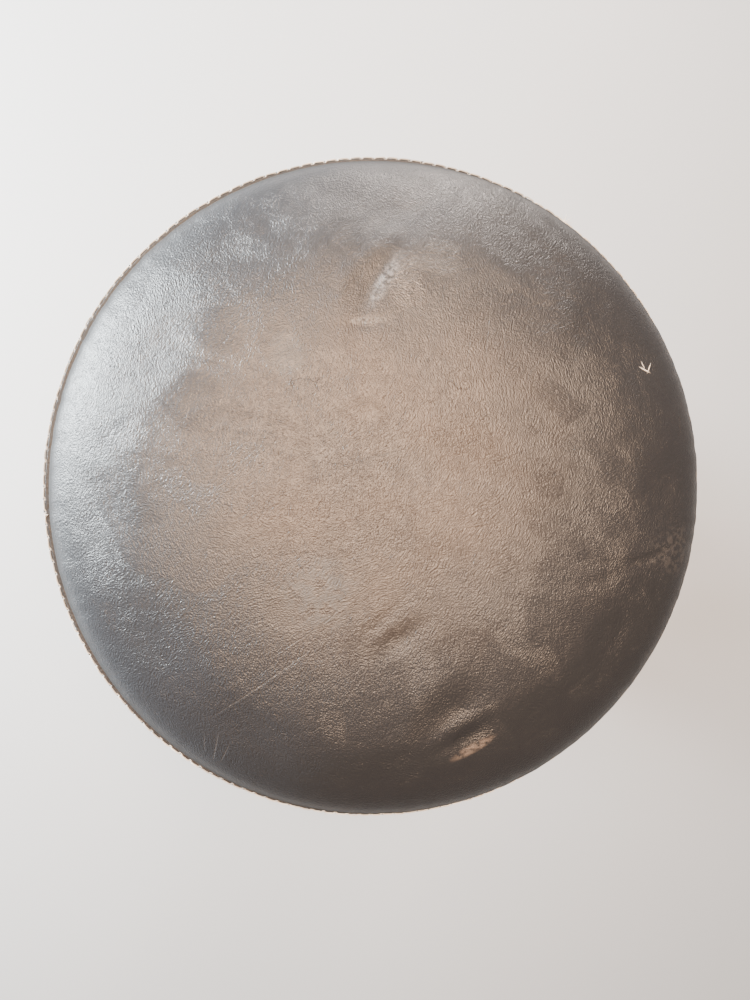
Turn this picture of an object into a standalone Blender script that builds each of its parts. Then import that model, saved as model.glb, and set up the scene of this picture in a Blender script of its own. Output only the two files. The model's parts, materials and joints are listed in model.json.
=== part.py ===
"""Adjustable swivel stool: a round padded seat that swivels on a telescopic column, over four double-barred legs
that fold flat against the column.

Units are metres, +Z is up, and the origin is on the floor under the swivel axis. Everything stands as it does in
use: legs spread, column at its lowest setting.
"""

from math import cos, pi, radians, sin

import bmesh
import bpy
from mathutils import Matrix, Vector

# ---- Driving dimensions ---------------------------------------------------------------------------------------

# Seat, from its sewn seam
SEAM_RADIUS = 0.165           # out to the raw edge of the seam
SEAM_LIP = 0.0035             # how far the seam stands out of the cushion
CROWN_HEIGHT = 0.040          # seam up to the middle of the seat
BAND_HEIGHT = 0.040           # seam down to the underside of the board
BOARD_THICKNESS = 0.012
VINYL = 0.0012                # cover thickness
TURN_UNDER = 0.020            # width of cover that is stapled under the board
DUST_CLOTH = 0.0008
DUST_CLOTH_INSET = 0.011      # edge of the dust cloth inside the edge of the seat

# Steel bracket under the seat
PLATE_THICKNESS = 0.003
PLATE_MARGIN = 0.0115         # plate beyond the bolt heads
BOLT_COUNT = 4
BOLT_CIRCLE_RADIUS = 0.060
BOLT_RADIUS = 0.003
BOLT_HEAD_RADIUS = 0.0065
BOLT_HEAD_HEIGHT = 0.0042
TEE_FLANGE_RADIUS = 0.009
TEE_FLANGE_THICKNESS = 0.0014
TEE_WALL = 0.0010
SOCKET_LENGTH = 0.036
SOCKET_WALL = 0.0045
SOCKET_WELD = 0.007

# Column
POST_RADIUS = 0.0127
POST_WALL = 0.0018
LINER_WALL = 0.0009
TUBE_WALL = 0.0018
SPINDLE_RADIUS = 0.0095
BUSH_WALL = 0.0026
FLANGE_THICKNESS = 0.0015     # of the washer and of both nylon bushes' flanges
POST_EXPOSED = 0.020          # bare post between the memory lock and the seat
HEIGHT_TRAVEL = 0.110         # how far the post can be drawn out
POST_GRIP = 0.060             # post left inside the tube when it is drawn right out
COLLAR_HEIGHT = 0.042
COLLAR_WALL = 0.006
CLAMP_SLIT = 0.003
EAR_RADIUS = 0.009
EAR_HALF = 0.009              # half the width over both ears
LOCK_HEIGHT = 0.014
LOCK_WALL = 0.0075
KEY_HEAD_RADIUS = 0.0042
KEY_HEAD_LENGTH = 0.007
PLUG_LENGTH = 0.014

# Folding base
LEG_COUNT = 4
LEG_ANGLE = radians(50)       # from the column, legs spread
FOLDED_ANGLE = radians(6)
LINK = 0.105                  # pivot to knee, the same on a leg and on its brace
LOWER_PIVOT_HEIGHT = 0.052
HUB_WALL = 0.0065
HUB_BELOW = 0.013             # hub body under its pivots
LOWER_HUB_ABOVE = 0.013
SLIDE_HUB_ABOVE = 0.032       # the sliding hub carries its wing screw above the pivots
BAR_THICKNESS = 0.003
LEG_BAR_WIDTH = 0.020
BRACE_BAR_WIDTH = 0.016
LOWER_LUG_WIDTH = 0.010
PIN_RADIUS = 0.003
PIN_HEAD_RADIUS = 0.0055
PIN_HEAD_HEIGHT = 0.0018

# Rubber boots
SOLE_THICKNESS = 0.012        # under the ends of the bars
BOOT_WALL = 0.004
BOOT_SLEEVE = 0.036           # how far the boot reaches up the bars
SOLE_REACH = 0.020            # sole from its middle, inwards and outwards

# Wing screws
SCREW_RADIUS = 0.003
WING_REACH = 0.015
WING_LENGTH = 0.014
WING_THICKNESS = 0.0036
SHOULDER = 0.008              # bare thread between a boss and the wings

# Clearances
GAP = 0.0003                  # between pieces that touch
SIDE_GAP = 0.0004             # between bars that slide past each other
RUNNING = 0.0003              # round a pin or shaft that turns or slides
HUB_STOP = 0.003              # between the folded hub and the clamp

# Facets
SEAT_SIDES = 40
CROWN_STEPS = 8
TUBE_SIDES = 24
PIN_SIDES = 12
BAR_END_STEPS = 6

# ---- Dimensions that follow -----------------------------------------------------------------------------------

# Across a leg, from its middle plane out
BRACE_INNER = LOWER_LUG_WIDTH / 2 + SIDE_GAP
BRACE_OUTER = BRACE_INNER + BAR_THICKNESS
LEG_INNER = BRACE_OUTER + SIDE_GAP
LEG_OUTER = LEG_INNER + BAR_THICKNESS
SLIDE_LUG_WIDTH = 2 * (LEG_INNER - SIDE_GAP)

# Column, from the post out
LINER_INNER = POST_RADIUS + RUNNING
LINER_OUTER = LINER_INNER + LINER_WALL
TUBE_BORE = LINER_OUTER + GAP
TUBE_RADIUS = TUBE_BORE + TUBE_WALL
HUB_RADIUS = TUBE_RADIUS + RUNNING + HUB_WALL
COLLAR_BORE = TUBE_RADIUS + GAP
COLLAR_RADIUS = COLLAR_BORE + COLLAR_WALL

# Folding base, from the floor up
PIVOT_RADIUS = HUB_RADIUS + LEG_BAR_WIDTH / 2 + 0.001
FOOT_HEIGHT = SOLE_THICKNESS + LEG_BAR_WIDTH / 2
SLIDE_PIVOT_HEIGHT = LOWER_PIVOT_HEIGHT + 2 * LINK * cos(LEG_ANGLE)
FOLD_TRAVEL = 2 * LINK * (cos(FOLDED_ANGLE) - cos(LEG_ANGLE))
LEG_LENGTH = (SLIDE_PIVOT_HEIGHT - FOOT_HEIGHT) / cos(LEG_ANGLE)
FOOT_RADIUS = PIVOT_RADIUS + LEG_LENGTH * sin(LEG_ANGLE)
HUB_SCREW_HEIGHT = SLIDE_PIVOT_HEIGHT + LEG_BAR_WIDTH / 2 + 0.011

# Up the column
TUBE_BOTTOM = LOWER_PIVOT_HEIGHT - HUB_BELOW - 0.004
COLLAR_BOTTOM = SLIDE_PIVOT_HEIGHT + SLIDE_HUB_ABOVE + FOLD_TRAVEL + HUB_STOP
COLLAR_TOP = COLLAR_BOTTOM + COLLAR_HEIGHT
CLAMP_SCREW_HEIGHT = COLLAR_BOTTOM + COLLAR_HEIGHT / 2 + 0.002
CLAMP_SCREW_RADIUS = COLLAR_RADIUS + EAR_RADIUS + 0.002
LOCK_BOTTOM = COLLAR_TOP + FLANGE_THICKNESS + 2 * GAP
LOCK_TOP = LOCK_BOTTOM + LOCK_HEIGHT
POST_SHOULDER = LOCK_TOP + POST_EXPOSED
POST_BOTTOM = COLLAR_TOP - POST_GRIP - HEIGHT_TRAVEL

# Swivel bearing, from the post's shoulder up
WASHER_BOTTOM = POST_SHOULDER + GAP
BUSH_BOTTOM = WASHER_BOTTOM + FLANGE_THICKNESS + GAP
BUSH_INNER = SPINDLE_RADIUS + RUNNING
BUSH_OUTER = BUSH_INNER + BUSH_WALL
SOCKET_BOTTOM = BUSH_BOTTOM + FLANGE_THICKNESS + GAP
SOCKET_BORE = BUSH_OUTER + GAP
SOCKET_RADIUS = SOCKET_BORE + SOCKET_WALL
SOCKET_MIDDLE = SOCKET_BOTTOM + SOCKET_LENGTH / 2
PLATE_BOTTOM = SOCKET_BOTTOM + SOCKET_LENGTH
PLATE_TOP = PLATE_BOTTOM + PLATE_THICKNESS
PLATE_RADIUS = BOLT_CIRCLE_RADIUS + BOLT_HEAD_RADIUS + PLATE_MARGIN

# Seat stack, from the plate up
CLOTH_BOTTOM = PLATE_TOP + GAP
BOARD_BOTTOM = CLOTH_BOTTOM + DUST_CLOTH + GAP
BOARD_TOP = BOARD_BOTTOM + BOARD_THICKNESS
SEAM_HEIGHT = BOARD_BOTTOM + BAND_HEIGHT
CUSHION_RADIUS = SEAM_RADIUS - SEAM_LIP
BAND_RADIUS = CUSHION_RADIUS - 0.0005
FOAM_RADIUS = BAND_RADIUS - VINYL - GAP
BOARD_RADIUS = FOAM_RADIUS - 0.003
WRAP_BOTTOM = BOARD_BOTTOM - GAP - VINYL
WRAP_INNER_RADIUS = BAND_RADIUS - TURN_UNDER
DUST_CLOTH_RADIUS = SEAM_RADIUS - DUST_CLOTH_INSET - SEAM_LIP

VINYL_BLACK = ("vinyl", (0.035, 0.034, 0.034), 0.42, 0.0)
FOAM_YELLOW = ("foam", (0.80, 0.70, 0.42), 0.95, 0.0)
PLYWOOD = ("plywood", (0.55, 0.38, 0.21), 0.75, 0.0)
DUST_BLACK = ("dust_cloth", (0.02, 0.02, 0.02), 0.95, 0.0)
CHROME = ("chrome", (0.78, 0.78, 0.80), 0.12, 1.0)
BLACK_PAINT = ("black_paint", (0.025, 0.025, 0.027), 0.38, 0.0)
ZINC = ("zinc_steel", (0.62, 0.62, 0.60), 0.32, 1.0)
NYLON = ("nylon", (0.03, 0.03, 0.03), 0.55, 0.0)
RUBBER = ("rubber", (0.02, 0.02, 0.02), 0.85, 0.0)

SWIVEL_LOCK_AXIS = (0, -1, 0)


# ---- Blender helpers ------------------------------------------------------------------------------------------

def clear_scene():
    for old in list(bpy.data.objects):
        bpy.data.objects.remove(old, do_unlink=True)


def collection(name):
    made = bpy.data.collections.new(name)
    bpy.context.scene.collection.children.link(made)
    return made


def material(finish):
    name, colour, roughness, metallic = finish
    made = bpy.data.materials.get(name)
    if made:
        return made
    made = bpy.data.materials.new(name)
    made.use_nodes = True
    shader = made.node_tree.nodes["Principled BSDF"]
    shader.inputs["Base Color"].default_value = (*colour, 1.0)
    shader.inputs["Roughness"].default_value = roughness
    shader.inputs["Metallic"].default_value = metallic
    return made


def add(name, data, finish, matrix, parent=None):
    """A new object of the stool in its place; with no finish it is a cutter."""
    made = bpy.data.objects.new(name, data)
    (CUTTERS if finish is None else STOOL).objects.link(made)
    if finish is None:
        made.hide_render = True
        made.display_type = "WIRE"
    else:
        made.data.materials.append(material(finish))
    if parent is not None:
        made.parent = parent
        made.matrix_local = matrix
    else:
        made.matrix_world = matrix
    return made


def joint_empty(name, matrix):
    """An empty on a joint's axis, for the pieces that turn with it."""
    made = bpy.data.objects.new(name, None)
    made.empty_display_size = 0.02
    made.matrix_world = matrix
    STOOL.objects.link(made)
    return made


def placed(origin, along=(1, 0, 0), up=(0, 0, 1)):
    """The matrix that puts local X along `along` and local Z as near to `up` as it can, at origin."""
    x = Vector(along).normalized()
    z = Vector(up)
    z = (z - x * z.dot(x)).normalized()
    turned_axes = Matrix((x, z.cross(x), z)).transposed()
    return Matrix.Translation(origin) @ turned_axes.to_4x4()


def raised(height):
    return Matrix.Translation((0, 0, height))


def turned(name, profile, finish, matrix=Matrix(), sides=TUBE_SIDES, closed=False, parent=None, wall=None):
    """A turned piece. The profile's (radius, height) points run down the outer side, and a closed one comes back to
    its start. With a wall the profile is an open skin that is thickened inwards."""
    mesh = bpy.data.meshes.new(name)
    edges = [(i, i + 1) for i in range(len(profile) - 1)]
    if closed:
        edges.append((len(profile) - 1, 0))
    mesh.from_pydata([(r, 0, z) for r, z in profile], edges, [])
    made = add(name, mesh, finish, matrix, parent)
    screw = made.modifiers.new("turn", "SCREW")
    screw.steps = sides
    screw.render_steps = sides
    screw.use_merge_vertices = True
    screw.merge_threshold = 0.00001
    screw.use_smooth_shade = sides > PIN_SIDES
    if wall is not None:
        shell = made.modifiers.new("wall", "SOLIDIFY")
        shell.thickness = wall
        shell.offset = -1
        shell.use_even_offset = True
    return made


def ring(name, inner, outer, bottom, top, finish, **options):
    """A plain tube or washer."""
    profile = [(outer, top), (outer, bottom), (inner, bottom), (inner, top)]
    return turned(name, profile, finish, closed=True, **options)


def rod(name, radius, bottom, top, finish, matrix=Matrix(), sides=TUBE_SIDES, parent=None):
    """A plain cylinder from bottom to top."""
    shell = bmesh.new()
    middle = raised((bottom + top) / 2)
    bmesh.ops.create_cone(
        shell, cap_ends=True, segments=sides, radius1=radius, radius2=radius, depth=top - bottom, matrix=middle
    )
    mesh = bpy.data.meshes.new(name)
    shell.to_mesh(mesh)
    shell.free()
    if sides > 6:
        mesh.shade_smooth()
        mesh.set_sharp_from_angle(angle=radians(40))
    return add(name, mesh, finish, matrix, parent)


def arc(centre, radius, start, end, steps):
    """Points round an arc, angles in radians."""
    angles = [start + (end - start) * i / steps for i in range(steps + 1)]
    return [(centre[0] + radius * cos(a), centre[1] + radius * sin(a)) for a in angles]


def capsule(length, radius, steps=BAR_END_STEPS):
    """A bar's outline with round ends, centred on local X from 0 to length."""
    return arc((length, 0), radius, -pi / 2, pi / 2, steps) + arc((0, 0), radius, pi / 2, 3 * pi / 2, steps)


def hole(x, y, radius):
    return arc((x, y), radius, 0, 2 * pi, PIN_SIDES)[:-1]


def plate(name, loops, thickness, finish, matrix, parent=None, edge=0.0):
    """A flat piece: the first loop is its outline and the others are holes, in local XY about Z = 0."""
    curve = bpy.data.curves.new(name, "CURVE")
    curve.dimensions = "2D"
    curve.fill_mode = "BOTH"
    curve.extrude = thickness / 2 - edge
    curve.bevel_depth = edge
    curve.bevel_resolution = 1
    curve.offset = -edge
    for loop in loops:
        spline = curve.splines.new("POLY")
        spline.points.add(len(loop) - 1)
        for point, (x, y) in zip(spline.points, loop):
            point.co = (x, y, 0, 1)
        spline.use_cyclic_u = True
    return add(name, curve, finish, matrix, parent)


def as_mesh(curved):
    """The same object as a welded mesh, ready for a Boolean."""
    bpy.context.view_layer.update()
    graph = bpy.context.evaluated_depsgraph_get()
    mesh = bpy.data.meshes.new_from_object(curved.evaluated_get(graph))
    shell = bmesh.new()
    shell.from_mesh(mesh)
    bmesh.ops.remove_doubles(shell, verts=shell.verts, dist=0.00001)
    shell.to_mesh(mesh)
    shell.free()
    name, matrix, parent = curved.name, curved.matrix_world.copy(), curved.parent
    home = curved.users_collection[0]
    bpy.data.objects.remove(curved, do_unlink=True)
    made = bpy.data.objects.new(name, mesh)
    home.objects.link(made)
    if home is CUTTERS:
        made.hide_render = True
        made.display_type = "WIRE"
    if parent is not None:
        made.parent = parent
    made.matrix_world = matrix
    return made


def boolean(target, tool, operation):
    step = target.modifiers.new(tool.name, "BOOLEAN")
    step.operation = operation
    step.object = tool
    return target


def cut(target, tool):
    return boolean(target, tool, "DIFFERENCE")


def join(target, tool):
    return boolean(target, tool, "UNION")


def cylinder_cutter(name, radius, start, direction, length, sides=PIN_SIDES):
    """A round cutter from start along direction, turned half a facet so that its corners meet no seam."""
    across = Vector((0, 0, 1)) if abs(Vector(direction).z) < 0.9 else Vector((1, 0, 0))
    matrix = placed(start, across, direction) @ Matrix.Rotation(pi / sides, 4, "Z")
    return rod(name, radius, 0, length, None, matrix=matrix, sides=sides)


# ---- Seat -----------------------------------------------------------------------------------------------------

def crown(inset, steps=CROWN_STEPS):
    """The crowned top of the cushion, (radius, height) from its middle to its edge, drawn in by inset. It follows
    height = H * (1 - (r / R) ** 4) ** 0.45, which is nearly flat in the middle and rolls over steeply at the edge."""
    radius = CUSHION_RADIUS - inset
    height = CROWN_HEIGHT - inset
    points = []
    for i in range(steps + 1):
        share = sin(pi / 2 * i / steps) ** 0.8
        points.append((radius * share, height * (1 - share ** 4) ** 0.45))
    return points


def seat_cover():
    """The crowned top panel and the side band, which meet in a seam with its raw edges outwards."""
    lip = SEAM_HEIGHT + GAP / 2 + VINYL
    top = [(r, lip + z) for r, z in crown(0)] + [(SEAM_RADIUS, lip)]
    turned("top_panel", top, VINYL_BLACK, sides=SEAT_SIDES, wall=VINYL)
    under = SEAM_HEIGHT - GAP / 2 - VINYL
    corner = 0.004
    bend = arc((BAND_RADIUS - corner, WRAP_BOTTOM + corner), corner, 0, -pi / 2, 2)
    bulge = (BAND_RADIUS + 0.0005, (under + WRAP_BOTTOM) / 2)
    side = [(SEAM_RADIUS, under), (CUSHION_RADIUS - 0.0003, under), bulge, *bend, (WRAP_INNER_RADIUS, WRAP_BOTTOM)]
    turned("side_band", side, VINYL_BLACK, sides=SEAT_SIDES, wall=VINYL)


def seat_filling():
    """The foam block, which fills the cover down to the board."""
    top = [(r, SEAM_HEIGHT + z) for r, z in crown(2 * VINYL)][:-1]
    side = [(FOAM_RADIUS - 0.001, SEAM_HEIGHT - 0.004), (FOAM_RADIUS - 0.001, BOARD_TOP + GAP)]
    turned("foam_pad", top + side + [(0, BOARD_TOP + GAP)], FOAM_YELLOW, sides=SEAT_SIDES)


def bolt_places():
    """Where the seat bolts stand, between the legs."""
    angles = [2 * pi * i / BOLT_COUNT for i in range(BOLT_COUNT)]
    return [(BOLT_CIRCLE_RADIUS * cos(a), BOLT_CIRCLE_RADIUS * sin(a)) for a in angles]


def seat_board():
    """A plywood disc with a stepped hole for each tee nut."""
    board = rod("seat_board", BOARD_RADIUS, BOARD_BOTTOM, BOARD_TOP, PLYWOOD, sides=SEAT_SIDES)
    barrel = BOLT_RADIUS + GAP + TEE_WALL + GAP
    recess = TEE_FLANGE_THICKNESS + 2 * GAP
    for i, (x, y) in enumerate(bolt_places()):
        profile = [
            (0, 0.02),
            (TEE_FLANGE_RADIUS + GAP, 0.02),
            (TEE_FLANGE_RADIUS + GAP, -recess),
            (barrel, -recess),
            (barrel, -BOARD_THICKNESS - 0.01),
            (0, -BOARD_THICKNESS - 0.01),
        ]
        place = Matrix.Translation((x, y, BOARD_TOP))
        cut(board, turned(f"tee_hole_{i + 1}", profile, None, matrix=place, sides=PIN_SIDES))


def dust_cloth():
    """Flat against the board in the middle, and down over the turned-under cover at its edge."""
    rise = BOARD_BOTTOM - GAP
    fall = WRAP_BOTTOM - GAP
    start, end = WRAP_INNER_RADIUS - 0.006, WRAP_INNER_RADIUS - 0.0015
    outline = [(0, rise), (start, rise), (end, fall), (DUST_CLOTH_RADIUS, fall)]
    outline += [(r, z - DUST_CLOTH) for r, z in reversed(outline)]
    cloth = turned("dust_cloth", outline, DUST_BLACK, sides=SEAT_SIDES)
    return bore_for_bolts(cloth, "cloth", CLOTH_BOTTOM - 0.01, 0.02)


def bore_for_bolts(target, word, bottom, length):
    for i, (x, y) in enumerate(bolt_places()):
        name = f"{word}_bolt_hole_{i + 1}"
        cut(target, cylinder_cutter(name, BOLT_RADIUS + GAP, (x, y, bottom), (0, 0, 1), length))
    return target


def seat_bracket():
    """A pressed plate with the swivel socket welded under it."""
    profile = [
        (0, PLATE_TOP),
        (PLATE_RADIUS - 0.001, PLATE_TOP),
        (PLATE_RADIUS, PLATE_TOP - 0.001),
        (PLATE_RADIUS, PLATE_BOTTOM),
        (SOCKET_RADIUS + SOCKET_WELD, PLATE_BOTTOM),
        (SOCKET_RADIUS, PLATE_BOTTOM - SOCKET_WELD),
        (SOCKET_RADIUS, SOCKET_BOTTOM),
        (SOCKET_BORE, SOCKET_BOTTOM),
        (SOCKET_BORE, PLATE_BOTTOM - 0.0005),
        (0, PLATE_BOTTOM - 0.0005),
    ]
    bracket = turned("seat_bracket", profile, BLACK_PAINT)
    bore_for_bolts(bracket, "plate", PLATE_BOTTOM - 0.01, 0.02)
    start = (0, 0, SOCKET_MIDDLE)
    return cut(bracket, cylinder_cutter("lock_hole", SCREW_RADIUS + RUNNING, start, SWIVEL_LOCK_AXIS, 0.05))


def seat_fasteners():
    """Hex bolts from below, into tee nuts sunk in the top of the board."""
    for i, (x, y) in enumerate(bolt_places()):
        head_top = PLATE_BOTTOM - GAP
        place = Matrix.Translation((x, y, head_top))
        length = BOARD_TOP - head_top - 2 * GAP
        bolt = rod(f"seat_bolt_{i + 1}", BOLT_RADIUS, -0.002, length, ZINC, matrix=place, sides=PIN_SIDES)
        head = rod(f"bolt_head_{i + 1}", BOLT_HEAD_RADIUS, -BOLT_HEAD_HEIGHT, 0, None, matrix=place, sides=6)
        join(bolt, head)
        inner = BOLT_RADIUS + GAP
        outer = inner + TEE_WALL
        top = -GAP
        flange = top - TEE_FLANGE_THICKNESS
        profile = [
            (TEE_FLANGE_RADIUS, top),
            (TEE_FLANGE_RADIUS, flange),
            (outer, flange),
            (outer, -BOARD_THICKNESS + 0.002),
            (inner, -BOARD_THICKNESS + 0.002),
            (inner, top),
        ]
        place = Matrix.Translation((x, y, BOARD_TOP))
        turned(f"tee_nut_{i + 1}", profile, ZINC, matrix=place, sides=PIN_SIDES, closed=True)


# ---- Column ---------------------------------------------------------------------------------------------------

def outer_tube():
    """The fixed tube of the column, with a nylon plug in its lower end."""
    ring("outer_tube", TUBE_BORE, TUBE_RADIUS, TUBE_BOTTOM, COLLAR_TOP, CHROME)
    plug = TUBE_BORE - GAP
    flange = TUBE_BOTTOM - GAP
    profile = [
        (0, TUBE_BOTTOM + PLUG_LENGTH),
        (plug, TUBE_BOTTOM + PLUG_LENGTH),
        (plug, flange),
        (TUBE_RADIUS, flange),
        (TUBE_RADIUS - 0.002, flange - 0.005),
        (0, flange - 0.005),
    ]
    turned("tube_plug", profile, NYLON)


def clamp_collar():
    """A split collar that squeezes the top of the tube on to the post, with two ears for its wing screw."""
    profile = [
        (COLLAR_RADIUS - 0.001, COLLAR_TOP),
        (COLLAR_RADIUS, COLLAR_TOP - 0.001),
        (COLLAR_RADIUS, COLLAR_BOTTOM + 0.001),
        (COLLAR_RADIUS - 0.001, COLLAR_BOTTOM),
        (COLLAR_BORE, COLLAR_BOTTOM),
        (COLLAR_BORE, COLLAR_TOP),
    ]
    collar = turned("clamp_collar", profile, BLACK_PAINT, closed=True)
    reach = CLAMP_SCREW_RADIUS - COLLAR_RADIUS + COLLAR_WALL / 2
    middle = (-CLAMP_SCREW_RADIUS, 0, CLAMP_SCREW_HEIGHT)
    ears = plate("ears", [capsule(reach, EAR_RADIUS)], 2 * EAR_HALF, None, placed(middle, (1, 0, 0), (0, 1, 0)))
    join(collar, as_mesh(ears))
    bottom = (0, 0, COLLAR_BOTTOM - GAP)
    bore = rod("collar_bore", COLLAR_BORE, -GAP, COLLAR_HEIGHT + 2 * GAP, None, matrix=Matrix.Translation(bottom))
    cut(collar, bore)
    length = CLAMP_SCREW_RADIUS + 2 * EAR_RADIUS
    slit = [(0, -COLLAR_HEIGHT), (length, -COLLAR_HEIGHT), (length, COLLAR_HEIGHT), (0, COLLAR_HEIGHT)]
    cutter = plate("slit", [slit], CLAMP_SLIT, None, placed((0, 0, CLAMP_SCREW_HEIGHT), (-1, 0, 0), (0, 1, 0)))
    cut(collar, as_mesh(cutter))
    start = (-CLAMP_SCREW_RADIUS, -2 * EAR_HALF, CLAMP_SCREW_HEIGHT)
    cut(collar, cylinder_cutter("clamp_hole", SCREW_RADIUS + RUNNING, start, (0, 1, 0), 4 * EAR_HALF))


def clamp_liner():
    """A nylon bush that the post slides in, with its flange on top of the collar."""
    bottom = COLLAR_TOP + GAP
    profile = [
        (COLLAR_BORE + COLLAR_WALL / 2, bottom + FLANGE_THICKNESS),
        (COLLAR_BORE + COLLAR_WALL / 2, bottom),
        (LINER_OUTER, bottom),
        (LINER_OUTER, COLLAR_BOTTOM),
        (LINER_INNER, COLLAR_BOTTOM),
        (LINER_INNER, bottom + FLANGE_THICKNESS),
    ]
    turned("clamp_liner", profile, NYLON, closed=True)


def inner_post():
    """A tube with a turned spindle at its top, which the seat swivels on."""
    bore = POST_RADIUS - POST_WALL
    spindle_top = PLATE_BOTTOM - 0.002
    profile = [
        (0, spindle_top),
        (SPINDLE_RADIUS - 0.001, spindle_top),
        (SPINDLE_RADIUS, spindle_top - 0.001),
        (SPINDLE_RADIUS, POST_SHOULDER),
        (POST_RADIUS, POST_SHOULDER),
        (POST_RADIUS, POST_BOTTOM),
        (bore, POST_BOTTOM),
        (bore, POST_SHOULDER - 0.02),
        (0, POST_SHOULDER - 0.02),
    ]
    turned("inner_post", profile, CHROME)


def memory_lock():
    """A ring screwed fast on the post, which stops on the clamp at the height its user likes."""
    inner = POST_RADIUS + GAP
    outer = inner + LOCK_WALL
    profile = [
        (outer - 0.001, LOCK_TOP),
        (outer, LOCK_TOP - 0.001),
        (outer, LOCK_BOTTOM + 0.001),
        (outer - 0.001, LOCK_BOTTOM),
        (inner, LOCK_BOTTOM),
        (inner, LOCK_TOP),
    ]
    lock = turned("memory_lock", profile, BLACK_PAINT, closed=True)
    middle = (0, 0, (LOCK_BOTTOM + LOCK_TOP) / 2)
    cut(lock, cylinder_cutter("key_hole", SCREW_RADIUS + RUNNING, middle, (0, -1, 0), 0.05))
    place = placed(middle, (1, 0, 0), (0, -1, 0))
    screw = rod("memory_lock_screw", SCREW_RADIUS, inner, outer + 0.003, ZINC, matrix=place, sides=PIN_SIDES)
    start = outer + 0.002
    head = rod("key_head", KEY_HEAD_RADIUS, start, start + KEY_HEAD_LENGTH, None, matrix=place, sides=4)
    join(screw, head)


def swivel_bearing():
    """A steel washer on the post's shoulder carries the seat, and a flanged nylon bush steadies it."""
    flange = SOCKET_RADIUS - 0.001
    ring("thrust_washer", BUSH_INNER, flange, WASHER_BOTTOM, WASHER_BOTTOM + FLANGE_THICKNESS, ZINC)
    profile = [
        (BUSH_OUTER, PLATE_BOTTOM - 0.003),
        (BUSH_OUTER, BUSH_BOTTOM + FLANGE_THICKNESS),
        (flange, BUSH_BOTTOM + FLANGE_THICKNESS),
        (flange, BUSH_BOTTOM),
        (BUSH_INNER, BUSH_BOTTOM),
        (BUSH_INNER, PLATE_BOTTOM - 0.003),
    ]
    turned("swivel_bush", profile, NYLON, closed=True)


# ---- Wing screws ----------------------------------------------------------------------------------------------

def wing_screw(name, place, stem):
    """A thumb screw with two swept wings. Local Z is its axis and 0 its tip; the wings start at stem."""
    boss_radius = 2 * SCREW_RADIUS
    screw = rod(name, SCREW_RADIUS, 0, stem + 0.002, ZINC, matrix=place, sides=PIN_SIDES)
    boss = [
        (0, stem + WING_LENGTH * 0.7),
        (boss_radius * 0.75, stem + WING_LENGTH * 0.7),
        (boss_radius, stem),
        (0, stem),
    ]
    join(screw, turned(name + "_boss", boss, None, matrix=place, sides=PIN_SIDES))
    lobe = WING_LENGTH * 0.32
    for side in (1, -1):
        tip = Vector((side * (WING_REACH - lobe), 0, stem + WING_LENGTH - lobe))
        root = Vector((side * SCREW_RADIUS, 0, stem + lobe))
        sweep = tip - root
        outline = capsule(sweep.length, lobe, 6)
        wing = plate(f"{name}_wing_{side}", [outline], WING_THICKNESS, None, place @ placed(root, sweep, (0, 1, 0)))
        join(screw, as_mesh(wing))
    return screw


def wing_screws():
    """One squeezes the clamp's ears, one holds the sliding hub and one stops the seat from turning."""
    side = placed((-CLAMP_SCREW_RADIUS, -EAR_HALF, CLAMP_SCREW_HEIGHT), (0, 0, 1), (0, 1, 0))
    wing_screw("clamp_wing_screw", side, 2 * EAR_HALF + SHOULDER)
    tip = TUBE_RADIUS + GAP
    out = placed((tip, 0, HUB_SCREW_HEIGHT), (0, 1, 0), (1, 0, 0))
    wing_screw("hub_wing_screw", out, HUB_RADIUS - tip + 1.5 * SHOULDER)
    tip = BUSH_OUTER + GAP
    middle = Vector((0, 0, SOCKET_MIDDLE))
    out = placed(middle + tip * Vector(SWIVEL_LOCK_AXIS), (1, 0, 0), SWIVEL_LOCK_AXIS)
    wing_screw("swivel_lock_screw", out, SOCKET_RADIUS - tip + SHOULDER)


# ---- Folding base ---------------------------------------------------------------------------------------------

def leg_azimuths():
    """The legs stand on the diagonals, so that the stool's footprint is square to X and Y."""
    return [2 * pi * (i + 0.5) / LEG_COUNT for i in range(LEG_COUNT)]


def radial(azimuth):
    return Vector((cos(azimuth), sin(azimuth), 0))


def tangent(azimuth):
    return Vector((-sin(azimuth), cos(azimuth), 0))


def hub(name, pivot_height, above, lug_width):
    """A cast ring on the tube with a lug for each leg or brace."""
    bottom, top = pivot_height - HUB_BELOW, pivot_height + above
    edge = 0.001
    profile = [
        (0, top),
        (HUB_RADIUS - edge, top),
        (HUB_RADIUS, top - edge),
        (HUB_RADIUS, bottom + edge),
        (HUB_RADIUS - edge, bottom),
        (0, bottom),
    ]
    body = turned(name, profile, BLACK_PAINT)
    for i, azimuth in enumerate(leg_azimuths()):
        out = radial(azimuth)
        start = out * (TUBE_RADIUS + HUB_WALL / 2) + Vector((0, 0, pivot_height))
        reach = PIVOT_RADIUS - TUBE_RADIUS - HUB_WALL / 2
        loops = [capsule(reach, BRACE_BAR_WIDTH / 2)]
        lug = plate(f"{name}_lug_{i + 1}", loops, lug_width, None, placed(start, out, tangent(azimuth)))
        join(body, as_mesh(lug))
    for i, azimuth in enumerate(leg_azimuths()):
        side = tangent(azimuth)
        middle = radial(azimuth) * PIVOT_RADIUS + Vector((0, 0, pivot_height))
        start = middle - side * 0.02
        cut(body, cylinder_cutter(f"{name}_pin_hole_{i + 1}", PIN_RADIUS + RUNNING, start, side, 0.04))
    bore = cylinder_cutter(name + "_bore", TUBE_RADIUS + RUNNING, (0, 0, bottom - 0.01), (0, 0, 1), 0.1, TUBE_SIDES)
    return cut(body, bore)


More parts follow.
